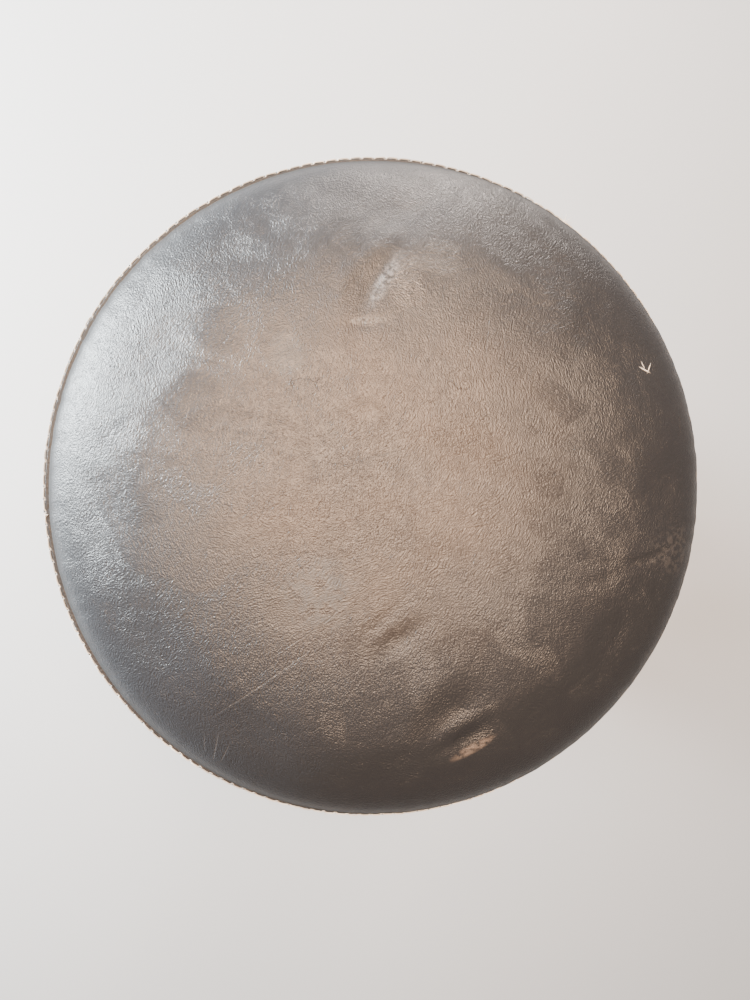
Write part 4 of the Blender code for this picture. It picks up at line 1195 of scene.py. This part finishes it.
def bracket_points():
    """Rows from the middle of the plate's top, over the rim, in along its underside, down the bead and the socket."""
    angle = turns(360)
    plate_top = [(r, PLATE_TOP) for r in np.linspace(0, PLATE_RADIUS - 0.0008, 34)]
    rim = [(PLATE_RADIUS, PLATE_TOP - 0.0008), (PLATE_RADIUS, PLATE_LOW - 0.0010),
           (PLATE_RADIUS - 0.0005, PLATE_LOW - 0.0015), (PLATE_RADIUS - 0.0020, PLATE_LOW - 0.0013),
           (PLATE_RADIUS - 0.0030, PLATE_LOW)]
    plate_low = [(r, PLATE_LOW) for r in np.linspace(PLATE_RADIUS - 0.0035, SOCKET_RADIUS + BEAD + 0.0004, 34)]
    bead = [(SOCKET_RADIUS + BEAD * (1 - np.sin(turn)) ** 0.8, PLATE_LOW - BEAD * (1 - np.cos(turn)) ** 0.8)
            for turn in np.linspace(0, pi / 2, 10)]
    socket = softened([(SOCKET_RADIUS, PLATE_LOW - 0.008), (SOCKET_RADIUS, SOCKET_BOTTOM),
                       (SOCKET_BORE, SOCKET_BOTTOM), (SOCKET_BORE, PLATE_LOW - 0.0005), (0, PLATE_LOW - 0.0005)],
                      0.0008, 5)
    rows = np.array([*plate_top, *rim, *plate_low, *bead, *socket.tolist()])
    radius = np.repeat(rows[:, :1], len(angle), 1)
    level = np.repeat(rows[:, 1:], len(angle), 1)
    count = len(plate_top) + len(rim) + len(plate_low)
    plate = np.arange(len(rows)) < count
    lower = (np.arange(len(rows)) >= len(plate_top)) & plate
    level -= np.where(lower[:, None], rib_depth(radius, angle[None]), 0)
    on_bead = np.zeros(len(rows))
    on_bead[count:count + len(bead)] = np.sin(np.linspace(0, pi, len(bead)))
    scallop = 0.00045 * np.abs(np.sin(27 * angle + 0.8 * np.sin(4 * angle)))
    radius += on_bead[:, None] * scallop
    level -= on_bead[:, None] * scallop
    return polar(radius, angle, level)


bracket = make_mesh("seat_bracket_pressed", [shell(bracket_points())], radians(32))
piece("pressed_bracket", bracket, paint, "seat", "black_paint", ("seat_bracket",))
print("bracket", len(bracket.polygons), "faces")

# %% [markdown]
# A hex head is a circle whose radius is pushed out to six flats: radius = apothem / cos(angle from the middle of the
# flat). Its top corners are cut by a cone, which is where the curved edges of a real bolt head come from.

# %% Bolts, bush and washer
def hexagon(angle, across_flats):
    """Radius of a hexagon at each angle."""
    return across_flats / 2 / np.cos((angle + pi / 6) % (pi / 3) - pi / 6)


def hex_bolt(head_top, shank_top, matrix):
    """A flanged bolt, head down: rows from the middle of the head out, over the flange and up the shank."""
    angle = turns(72)
    hexed = hexagon(angle, 0.0100)
    low_z = head_top - 0.0052
    rows = [(0.0, low_z), (0.0036, low_z)]
    rows += [(np.minimum(hexed, cone), low_z + (cone - 0.0044) * 0.5) for cone in (0.0044, 0.0050, 0.0054, 0.0060)]
    rows += [(hexed, head_top - 0.0016), (0.0074, head_top - 0.0012), (0.0080, head_top - 0.0008),
             (0.0080, head_top - 0.0002), (0.0030, head_top - 0.0002), (0.0030, shank_top), (0.0, shank_top)]
    return shell(moved(np.stack([polar(radius, angle, level) for radius, level in rows]), matrix))


for number in range(1, 5):
    lowest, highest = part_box(f"seat_bolt_{number}")
    middle = (lowest + highest) / 2
    turn = Matrix.Translation((middle.x, middle.y, 0)) @ Matrix.Rotation(0.4 * number, 4, "Z")
    bolt = hex_bolt(PLATE_LOW - 0.0001, highest.z, turn)
    piece(f"bracket_bolt_{number}", make_mesh("bolt", [bolt], radians(30)), zinc, "seat", "zinc_steel",
          (f"seat_bolt_{number}",))


def turned_piece(name, corners, finish, body, slot, replaces, sides=64, radius=0.0005):
    """A piece with a turned section, its corners rounded; a ring's section comes back to its start."""
    closed = tuple(corners[0][:2]) == tuple(corners[-1][:2])
    points = spin(softened(corners, radius), sides)
    mesh = make_mesh(name, [shell(points[:-1] if closed else points, along=closed)], radians(32))
    return piece(name, mesh, finish, body, slot, replaces)


def ring_section(inner, outer, bottom, top):
    """A ring's section, from the middle of its inner side round and back."""
    middle = (bottom + top) / 2
    return [(inner, middle), (inner, bottom), (outer, bottom), (outer, top), (inner, top), (inner, middle)]


SPINDLE_RADIUS = 0.0095
bore = SPINDLE_RADIUS + RUNNING_GAP
washer_radius = high("thrust_washer", 0)
washer = ring_section(bore, washer_radius, low("thrust_washer"), high("thrust_washer"))
turned_piece("bearing_washer", washer, zinc, "post", "zinc_steel", ("thrust_washer",), radius=0.0003)
bush_low = low("swivel_bush")
flange, sleeve = bush_low + 0.0015, SOCKET_BORE - RUNNING_GAP
bush = [(bore, PLATE_LOW - 0.008), (bore, bush_low), (washer_radius, bush_low), (washer_radius, flange),
        (sleeve, flange), (sleeve, PLATE_LOW - 0.003), (bore, PLATE_LOW - 0.003), (bore, PLATE_LOW - 0.008)]
turned_piece("bearing_bush", bush, nylon, "seat", "nylon", ("swivel_bush",), radius=0.0003)
print("seat hardware done; the spindle is", round(SPINDLE_RADIUS * 2000, 1), "mm across")

# %% [markdown]
# The column is a chromed tube with a chromed post inside. Both are turned shapes: only their ends need care, where a
# cut tube is rolled or chamfered. A black plug closes the bottom, and a nylon liner shows as a thin flange on top.

# %% Tube, post and plug
TUBE_WALL = 0.0018
LINER_WALL = 0.0008
LINER_FLANGE = 0.0192
tube_low, tube_high = low("outer_tube"), high("outer_tube")
post_low, post_high = low("inner_post"), high("inner_post")
post_shoulder = low("thrust_washer") - RUNNING_GAP
post_bore, post_floor = POST_RADIUS - TUBE_WALL, post_shoulder - 0.02
collar_low, collar_high = low("clamp_collar"), high("clamp_collar")
plug_low, plug_high = low("tube_plug"), high("tube_plug")
plug_neck, plug_top = TUBE_RADIUS - 0.0022, tube_low - RUNNING_GAP
liner_low, liner_high = low("clamp_liner"), high("clamp_liner")
liner_bore = POST_RADIUS + RUNNING_GAP
liner_skin, liner_start = liner_bore + LINER_WALL, collar_high - 0.01

tube_section = ring_section(TUBE_RADIUS - TUBE_WALL, TUBE_RADIUS, tube_low, tube_high)
post_section = [(0, post_high), (SPINDLE_RADIUS, post_high), (SPINDLE_RADIUS, post_shoulder),
                (POST_RADIUS, post_shoulder), (POST_RADIUS, post_low), (post_bore, post_low), (post_bore, post_floor),
                (0, post_floor)]
plug_section = [(0, plug_low + 0.0012), (0.0075, plug_low + 0.0012), (0.0082, plug_low), (plug_neck, plug_low),
                (TUBE_RADIUS, plug_low + 0.0048), (TUBE_RADIUS, plug_top), (plug_neck, plug_top),
                (plug_neck, plug_high), (0, plug_high)]
liner_section = [(liner_bore, liner_start), (liner_bore, liner_low), (liner_skin, liner_low),
                 (liner_skin, liner_high - 0.0015), (LINER_FLANGE, liner_high - 0.0015), (LINER_FLANGE, liner_high),
                 (liner_bore, liner_high), (liner_bore, liner_start)]
COLUMN = (
    # name, section, finish, body, slot, the solid it stands for, sides, radius of its corners
    ("column_tube", tube_section, chrome, "base", "chrome", "outer_tube", 96, 0.0005),
    ("chrome_post", post_section, chrome, "post", "chrome", "inner_post", 96, 0.0009),
    ("tube_foot_plug", plug_section, nylon, "base", "nylon", "tube_plug", 64, 0.0008),
    ("post_liner", liner_section, nylon, "base", "nylon", "clamp_liner", 80, 0.0004),
)
for name, section, finish, body, slot, solid, sides, radius in COLUMN:
    turned_piece(name, section, finish, body, slot, (solid,), sides, radius)
print("column from", round(plug_low * 1000, 1), "to", round(post_high * 1000, 1), "mm")

# %% [markdown]
# The hubs, the clamp and the heads of the wing screws are castings: simple bodies that run into each other with a
# soft fillet in every corner. The way to that here is to let the bodies overlap, take one skin round all of them
# with a fine voxel remesh, smooth it, and only then cut the machined holes, so that those stay crisp.

# %% Castings
def cast(shells, voxel, smoothing=4, cutters=()):
    """One smooth skin round overlapping shells, with crisp cuts through it afterwards."""
    rough = make_mesh("casting", shells)
    steps = [("REMESH", {"mode": "VOXEL", "voxel_size": voxel, "use_smooth_shade": True}),
             ("SMOOTH", {"factor": 0.5, "iterations": smoothing})]
    helpers = [added("cutter", make_mesh("cutter", [cutter])) for cutter in cutters]
    steps += [("BOOLEAN", {"operation": "DIFFERENCE", "solver": "EXACT", "object": helper}) for helper in helpers]
    made = with_modifiers(rough, *steps)
    for helper in helpers:
        bpy.data.objects.remove(helper)
    return tidy_mesh(made, radians(40))


def united(mesh, other):
    """The mesh with another closed shape joined into one skin."""
    helper = added("other", other)
    made = with_modifiers(mesh, ("BOOLEAN", {"operation": "UNION", "solver": "EXACT", "object": helper}))
    bpy.data.objects.remove(helper)
    return tidy_mesh(made, radians(40))


def rod(radius, start, direction, length, sides=48):
    """A round bar from start along direction."""
    across = (0, 0, 1) if abs(Vector(direction).normalized().z) < 0.9 else (1, 0, 0)
    return shell(spin([(0, 0), (radius, 0), (radius, length), (0, length)], sides, placed(start, across, direction)))


def slab(half_length, half_width, half_thickness, edge, matrix, steps=20):
    """A flat bar with round ends and rounded edges. Its outline is a stadium, which is a straight spine with a
    circle round each end, so an inset outline is the same spine with a smaller circle. Rows go from one face over
    the edge to the other, with the edge's quarter circles as insets."""
    turn = np.concatenate([np.linspace(-pi / 2, pi / 2, steps), np.linspace(pi / 2, 3 * pi / 2, steps)])
    spine = np.where(np.arange(2 * steps) < steps, half_length, -half_length)
    arc = np.linspace(0, pi / 2, 5)
    inset = np.concatenate([edge * (1 - np.sin(arc)), edge * (1 - np.cos(arc))])
    height = np.concatenate([half_thickness - edge * (1 - np.cos(arc)), -half_thickness + edge * (1 - np.sin(arc))])
    radius = half_width - inset[:, None]
    points = np.empty((10, 2 * steps, 3))
    points[..., 0] = spine + radius * np.cos(turn)
    points[..., 1] = radius * np.sin(turn)
    points[..., 2] = height[:, None]
    return shell(moved(points, matrix), capped=True)


CLAMP_X = -0.0333
SCREW_HOLE = 0.0033
clamp_screw_z = float(place_of(frame["joints"], "clamp_screw_turn")[2])
ear_length = 0.0095
ear_place = placed((CLAMP_X + ear_length, 0, clamp_screw_z), (1, 0, 0), (0, 1, 0))
collar_radius = high("clamp_collar", 0)
collar_body = shell(spin(softened([(0, collar_high), (collar_radius, collar_high), (collar_radius, collar_low),
                                   (0, collar_low)], 0.0016), 96))
slit = slab(0.030, 0.030, 0.0015, 0.0001, placed((CLAMP_X - 0.004, 0, clamp_screw_z), (0, 0, 1), (0, 1, 0)))
clamp_cuts = (rod(TUBE_RADIUS + RUNNING_GAP, (0, 0, collar_low - 0.01), (0, 0, 1), 0.07, 96),
              slit, rod(SCREW_HOLE, (CLAMP_X, -0.02, clamp_screw_z), (0, 1, 0), 0.04))
ear = slab(ear_length, 0.009, 0.009, 0.0016, ear_place)
collar = cast([collar_body, ear], voxel=0.00055, smoothing=5, cutters=clamp_cuts)
piece("split_collar", collar, paint, "base", "black_paint", ("clamp_collar",))
print("clamp", len(collar.polygons), "faces")

# %% [markdown]
# The memory lock is a ring with a square-headed key screw. A square with round corners is a superellipse: every
# point of the circle is pushed out until |x|^5 + |y|^5 is constant.

# %% Memory lock
lock_low, lock_high = low("memory_lock"), high("memory_lock")
lock_radius = high("memory_lock", 0)
lock_section = ring_section(POST_RADIUS + RUNNING_GAP, lock_radius, lock_low, lock_high)
turned_piece("height_ring", lock_section, paint, "height_lock", "black_paint", ("memory_lock",), sides=96,
             radius=0.0014)


def square_head(start, direction, length, half):
    """A square head with rounded corners and a domed end."""
    turn = turns(64)
    level = np.array([0, 0, 0.0006, length - 0.0012, length - 0.0004, length, length])
    size = np.array([0, half - 0.0006, half, half, half - 0.0005, half - 0.0014, 0])
    points = polar(size[:, None] * superellipse(turn, 5), turn, level[:, None])
    return shell(moved(points, placed(start, (1, 0, 0), direction)))


key_z = (lock_low + lock_high) / 2
key = united(make_mesh("key", [rod(0.003, (0, -POST_RADIUS - 0.0004, key_z), (0, -1, 0), 0.011, 32)]),
             make_mesh("head", [square_head((0, -lock_radius - 0.002, key_z), (0, -1, 0), 0.007, 0.0031)]))
piece("ring_key_screw", key, zinc, "height_lock", "zinc_steel", ("memory_lock_screw",))
print("memory lock at", round(key_z * 1000, 1), "mm")

# %% [markdown]
# A wing screw is a cast head with two swept wings on a threaded rod. A thread is a rod whose radius depends on
# height and angle together: depth times a triangle wave of height / pitch - angle / (2 pi), so the ridge climbs by
# one pitch in every turn.

# %% Wing screws
THREAD_PITCH = 0.0010
THREAD_DEPTH = 0.0005
SCREW_RADIUS = 0.0030
WING_SPAN = 0.015
WING_RISE = 0.014


def threaded_rod(radius, length, matrix):
    """A rod whose ridge climbs round it, eight rows to each pitch, with a tapered tip."""
    level = np.linspace(0, length, int(length / THREAD_PITCH * 8))[:, None]
    turn = turns(32)
    phase = (level / THREAD_PITCH - turn / (2 * pi)) % 1
    ridge = THREAD_DEPTH * (1 - np.abs(2 * phase - 1)) * smooth_step(level, 0, 0.002)
    taper = 0.0006 * smooth_step(level, 0.0012, 0)
    return shell(moved(polar(radius - THREAD_DEPTH + ridge - taper, turn, level), matrix), capped=True)


def wing_head(stem, matrix):
    """Boss and wings as a casting, in the screw's own frame: Z along the screw, wings along X."""
    boss = spin(softened([(0, stem + 0.0104), (0.0044, stem + 0.0104), (0.0060, stem + 0.0010), (0.0054, stem),
                          (0, stem)], 0.0012), 48, matrix)
    shells = [shell(boss)]
    lobe = 0.0045
    for side in (1, -1):
        tip = Vector((side * (WING_SPAN - lobe), 0, stem + WING_RISE - lobe))
        root = Vector((side * SCREW_RADIUS, 0, stem + lobe))
        sweep = tip - root
        local = placed((tip + root) / 2, sweep, (0, 1, 0))
        shells.append(slab(sweep.length / 2, lobe, 0.0018, 0.0012, matrix @ local))
    return cast(shells, voxel=0.00034)


def wing_screw(name, node, place, stem, body):
    """A whole screw: its thread runs from its tip into the boss."""
    screw = united(wing_head(stem, place), make_mesh("thread", [threaded_rod(SCREW_RADIUS, stem + 0.002, place)]))
    piece(name, screw, zinc, body, "zinc_steel", (node,))
    print(name, "has", len(screw.polygons), "faces")


hub_screw_z = float(place_of(frame["joints"], "hub_screw_turn")[2])
seat_screw_z = float(place_of(frame["joints"], "seat_screw_turn")[2])
clamp_tip = low("clamp_wing_screw", 1)
hub_tip, hub_end = low("hub_wing_screw", 0), high("hub_wing_screw", 0)
seat_end, seat_tip = low("swivel_lock_screw", 1), high("swivel_lock_screw", 1)
wing_screw("collar_wing_screw", "clamp_wing_screw",
           placed((CLAMP_X, clamp_tip, clamp_screw_z), (0, 0, 1), (0, 1, 0)), 0.026, "clamp_screw")
wing_screw("sleeve_wing_screw", "hub_wing_screw",
           placed((hub_tip, 0, hub_screw_z), (0, 1, 0), (1, 0, 0)), hub_end - hub_tip - WING_RISE, "hub_screw")
wing_screw("seat_wing_screw", "swivel_lock_screw",
           placed((0, seat_tip, seat_screw_z), (1, 0, 0), (0, -1, 0)), seat_tip - seat_end - WING_RISE, "seat_screw")

# %% [markdown]
# Two cast hubs ride on the tube, one fixed low down and one that slides. Each has a body and four lugs, one for
# every leg. The lugs are slabs that overlap the body; remeshed together they grow fillets at their roots.

# %% Hubs
LEG_TURNS = [pi / 4 + pi / 2 * number for number in range(4)]
leg_pivot, brace_pivot = (place_of(frame["joints"], name) for name in ("leg_1_fold", "brace_1_fold"))
PIVOT_RADIUS = float(np.hypot(*leg_pivot[:2]))
lower_pivot_z, slide_pivot_z = float(brace_pivot[2]), float(leg_pivot[2])
HUB_RADIUS = 0.0228
LUG_HALF_WIDTH = 0.008
LOWER_LUG = 0.010
SLIDE_LUG = 0.0168


def outward(turn):
    """The level direction away from the column in a leg's plane."""
    return Vector((cos(turn), sin(turn), 0))


def sideways(turn):
    """The level direction across a leg's plane."""
    return Vector((-sin(turn), cos(turn), 0))


def hub(node, pivot_z, lug_width, screw_cut=None):
    """A waisted body with four lugs, bored for the tube and drilled for the pivots; a hub that is clamped by a screw
    gets a boss for it as well."""
    bottom, top = low(node), high(node)
    waist = HUB_RADIUS - 0.0008
    corners = [(0, top), (HUB_RADIUS, top), (HUB_RADIUS, top - 0.005), (waist, top - 0.0062),
               (waist, bottom + 0.0062), (HUB_RADIUS, bottom + 0.005), (HUB_RADIUS, bottom), (0, bottom)]
    shells = [shell(spin(softened(corners, 0.0012), 96))]
    cuts = [rod(TUBE_RADIUS + RUNNING_GAP, (0, 0, bottom - 0.01), (0, 0, 1), top - bottom + 0.02, 96)]
    reach = PIVOT_RADIUS - 0.0180
    for turn in LEG_TURNS:
        middle = outward(turn) * (PIVOT_RADIUS - reach / 2) + Vector((0, 0, pivot_z))
        lug_place = placed(middle, outward(turn), sideways(turn))
        shells.append(slab(reach / 2, LUG_HALF_WIDTH, lug_width / 2, 0.0010, lug_place))
        start = outward(turn) * PIVOT_RADIUS + Vector((0, 0, pivot_z)) - sideways(turn) * 0.012
        cuts.append(rod(SCREW_HOLE, start, sideways(turn), 0.024, 32))
    if screw_cut:
        cuts.append(screw_cut)
        boss = softened([(0, 0), (0.0078, 0), (0.0068, 0.0056), (0, 0.0056)], 0.001)
        shells.append(shell(spin(boss, 48, placed((HUB_RADIUS - 0.004, 0, hub_screw_z), (0, 0, 1), (1, 0, 0)))))
    return cast(shells, voxel=0.00062, smoothing=5, cutters=cuts)


piece("fixed_hub", hub("lower_hub", lower_pivot_z, LOWER_LUG), paint, "base", "black_paint", ("lower_hub",))
screw_hole = rod(SCREW_HOLE, (0, 0, hub_screw_z), (1, 0, 0), 0.06, 32)
piece("sliding_sleeve", hub("slide_hub", slide_pivot_z, SLIDE_LUG, screw_hole), paint, "sliding_hub",
      "black_paint", ("slide_hub",))
print("hubs cast; pivots", round(PIVOT_RADIUS * 1000, 1), "mm out")

# %% [markdown]
# Each leg is two flat chromed strips with a rivet head at the knee, joined by a pivot pin in the hub and a rubber
# boot. Strips are slabs again, laid along the line from the pivot to the foot. A rivet is a turned dome, whose
# section is a quarter of an ellipse, with the small dimple that the swaging tool leaves.

# %% Legs, braces and rivets
LINK = 0.105
FOOT_Z = 0.022
STRIP = 0.003
LEG_HALF_WIDTH = 0.010
BRACE_HALF_WIDTH = LUG_HALF_WIDTH
BRACE_MIDDLE = 0.0069
LEG_MIDDLE = 0.0103
RIVET_RADIUS = 0.0055
RIVET_HEIGHT = 0.0018


def dome(radius, height, matrix):
    """A rivet head on the plane Z = 0 of its own frame, sunk 1 mm below it."""
    turn = np.linspace(0, pi / 2, 7)
    top = [(0, height * 0.80), (radius * 0.18, height * 0.86), (radius * 0.30, height)]
    side = [(radius * (0.30 + 0.70 * np.sin(t)), height * np.cos(t)) for t in turn[1:]]
    return shell(spin([*top, *side, (radius, -0.001), (0, -0.001)], 24, matrix))


def strip(start, end, half_width, side, across):
    """A flat bar from start to end, `across` from the middle plane of its leg."""
    middle = (start + end) / 2 + side * across
    place = placed(middle, end - start, side)
    return slab((end - start).length / 2, half_width, STRIP / 2, 0.0007, place, steps=24)


def riveted_pin(half, place):
    """A pin with a dome at each end of its grip, all in one shell so that it has no inner faces."""
    turn = np.linspace(0, pi / 2, 7)
    side = [(RIVET_RADIUS * np.sin(t), half + RIVET_HEIGHT * np.cos(t)) for t in turn]
    top = side + [(0.0052, half - 0.0001), (0.0030, half - 0.0001)]
    rows = top + [(r, -z) for r, z in reversed(top)]
    return shell(spin(rows, 24, place))


def foot_place(number):
    """Where the middle of a leg's end is: over the middle of its sole."""
    x, y, _ = place_of(frame["record"]["mounts"], f"sole_{number}")
    return Vector((x, y, FOOT_Z))


for number, turn in enumerate(LEG_TURNS, 1):
    out, side = outward(turn), sideways(turn)
    foot = foot_place(number)
    pivot = out * PIVOT_RADIUS + Vector((0, 0, slide_pivot_z))
    base_pivot = out * PIVOT_RADIUS + Vector((0, 0, lower_pivot_z))
    down = (foot - pivot).normalized()
    knee = pivot + down * LINK
    for word, sign in (("left", 1), ("right", -1)):
        face = placed(knee + side * sign * (LEG_MIDDLE + STRIP / 2), down, side * sign)
        parts = [strip(pivot, foot, LEG_HALF_WIDTH, side, sign * LEG_MIDDLE), dome(RIVET_RADIUS, RIVET_HEIGHT, face)]
        piece(f"chrome_leg_{number}_{word}", make_mesh("leg", parts, radians(30)), chrome, f"leg_{number}", "chrome",
              (f"leg_{number}_{word}_bar",))
        parts = [strip(base_pivot, knee, BRACE_HALF_WIDTH, side, sign * BRACE_MIDDLE)]
        piece(f"chrome_brace_{number}_{word}", make_mesh("brace", parts, radians(30)), chrome, f"brace_{number}",
              "chrome", (f"brace_{number}_{word}_bar",))
    pin = riveted_pin(LEG_MIDDLE + STRIP / 2 + RUNNING_GAP, placed(pivot, down, side))
    piece(f"leg_rivet_{number}", make_mesh("rivet", [pin]), zinc, "sliding_hub", "zinc_steel",
          (f"leg_{number}_pivot_pin",))
    pin = riveted_pin(BRACE_MIDDLE + STRIP / 2 + RUNNING_GAP, placed(base_pivot, down, side))
    piece(f"brace_rivet_{number}", make_mesh("rivet", [pin]), zinc, "base", "zinc_steel",
          (f"brace_{number}_pivot_pin",))
    upper_half = [(0, 0.0084), (0.0030, 0.0084), (0.0030, 0.0050), (0.0052, 0.0050), (RIVET_RADIUS, 0.0047)]
    spacer = upper_half + [(radius, -level) for radius, level in reversed(upper_half)]
    pin = shell(spin(spacer, 32, placed(knee, down, side)))
    piece(f"knee_rivet_{number}", make_mesh("spacer", [pin], radians(30)), zinc, f"brace_{number}", "zinc_steel",
          (f"knee_{number}_pin",))
LEG_LEAN = down.angle(Vector((0, 0, -1)))
print("legs", round((foot - pivot).length * 1000, 1), "mm long from pivot to foot")

# %% [markdown]
# A boot is a loft in the plane of its leg: a left and a right outline run from the mouth of the sleeve down to the
# sole, and between each pair of their points lies a rounded rectangle, which is a superellipse |x|^4 + |y|^4. Three
# ribs swell the sleeve, the mouth is a rim with a pocket inside, and the sole has a groove round it.

# %% Rubber boots
def boot_outline():
    """Left and right outlines of the boot, in metres from the end of the bars: x outwards, y up."""
    up, over = np.array((-sin(LEG_LEAN), cos(LEG_LEAN))), np.array((cos(LEG_LEAN), sin(LEG_LEAN)))
    half, sole = 0.014, -FOOT_Z
    left = [up * 0.036 - over * half, up * 0.004 - over * half, (-0.0192, sole + 0.007), (-0.0198, sole)]
    right = [up * 0.036 + over * half, up * 0.002 + over * half, (0.0218, sole + 0.010), (0.0200, sole)]
    share = np.linspace(0, 1, 64)
    return share, *(spaced(softened(corners, 0.010, 12), share) for corners in (left, right))


def boot_points():
    """Rows of closed loops from the pocket's floor, over the rim, down the outside and under the sole."""
    share, left, right = boot_outline()
    middle, reach = (left + right) / 2, (right - left) / 2
    width = np.interp(share, [0, 0.55, 1], [0.0158, 0.0160, 0.0190])
    ribs = 0.0011 * np.exp(-((share[:, None] - np.array((0.02, 0.16, 0.30))) / 0.022) ** 2).sum(1)
    grow = 1 + ribs / np.linalg.norm(reach, axis=1)
    rows = list(zip(middle, reach * grow[:, None], width + ribs))
    mouth, back = middle[0] - middle[3], reach[0]
    pocket = [(middle[0] + mouth * rise, back * size, 0.0158 * size) for rise, size in
              ((-2.2, 0.70), (-0.2, 0.74), (0.10, 0.79), (0.16, 0.88), (0.10, 0.97))]
    last = rows[-1]
    under = [(last[0] + (0, lift), last[1] * size, last[2] * size) for lift, size in
             ((0.0, 0.97), (0.0, 0.86), (0.0009, 0.84), (0.0009, 0.72), (0.0, 0.70))]
    return pocket + rows + under


def boot_mesh(out, side, foot):
    """The boot's loops, turned into the plane of one leg and moved to its foot."""
    turn = turns(72)
    round_square = superellipse(turn, 4)
    middle, reach, width = (np.array(column) for column in zip(*boot_points()))
    flat = middle[:, None] + reach[:, None] * (round_square * np.cos(turn))[None, :, None]
    across = width[:, None] * (round_square * np.sin(turn))[None]
    local = np.stack([flat[..., 0], flat[..., 1], across], -1)
    axes = np.array([out, (0, 0, 1), side], float)
    return make_mesh("boot", [shell(local @ axes + np.array(foot), capped=True)], radians(45))


for number, turn in enumerate(LEG_TURNS, 1):
    boot = boot_mesh(outward(turn), sideways(turn), foot_place(number))
    piece(f"rubber_foot_{number}", boot, rubber, f"leg_{number}", "rubber", (f"leg_{number}_boot",))
print("boots", len(boot.polygons), "faces each")

# %% [markdown]
# The floor is a plain pale sheet, which belongs to the studio and not to the stool. Last of all the box of what is
# shown is printed, to be set beside the box of the solid model that was printed at the start.

# %% Floor, sizes and finish
FLOOR_HALF = 4
FLOOR_DARK, FLOOR_LIGHT = (0.47, 0.47, 0.47), (0.52, 0.52, 0.52)
corners = [(x * FLOOR_HALF, y * FLOOR_HALF, 0) for x, y in ((-1, -1), (1, -1), (1, 1), (-1, 1))]
floor_mesh = bpy.data.meshes.new("floor")
floor_mesh.from_pydata(corners, [], [(0, 1, 2, 3)])
place, connect = new_finish("pale_floor", roughness=0.85)
floor_mesh.materials.append(connect(base_color=place.noise(0.5, 3.0).mix(FLOOR_DARK, FLOOR_LIGHT)))
floor = added("floor", floor_mesh)
floor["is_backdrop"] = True

visual_box = [list(corner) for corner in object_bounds()]
print("shown from", [round(x, 4) for x in visual_box[0]], "to", [round(x, 4) for x in visual_box[1]])
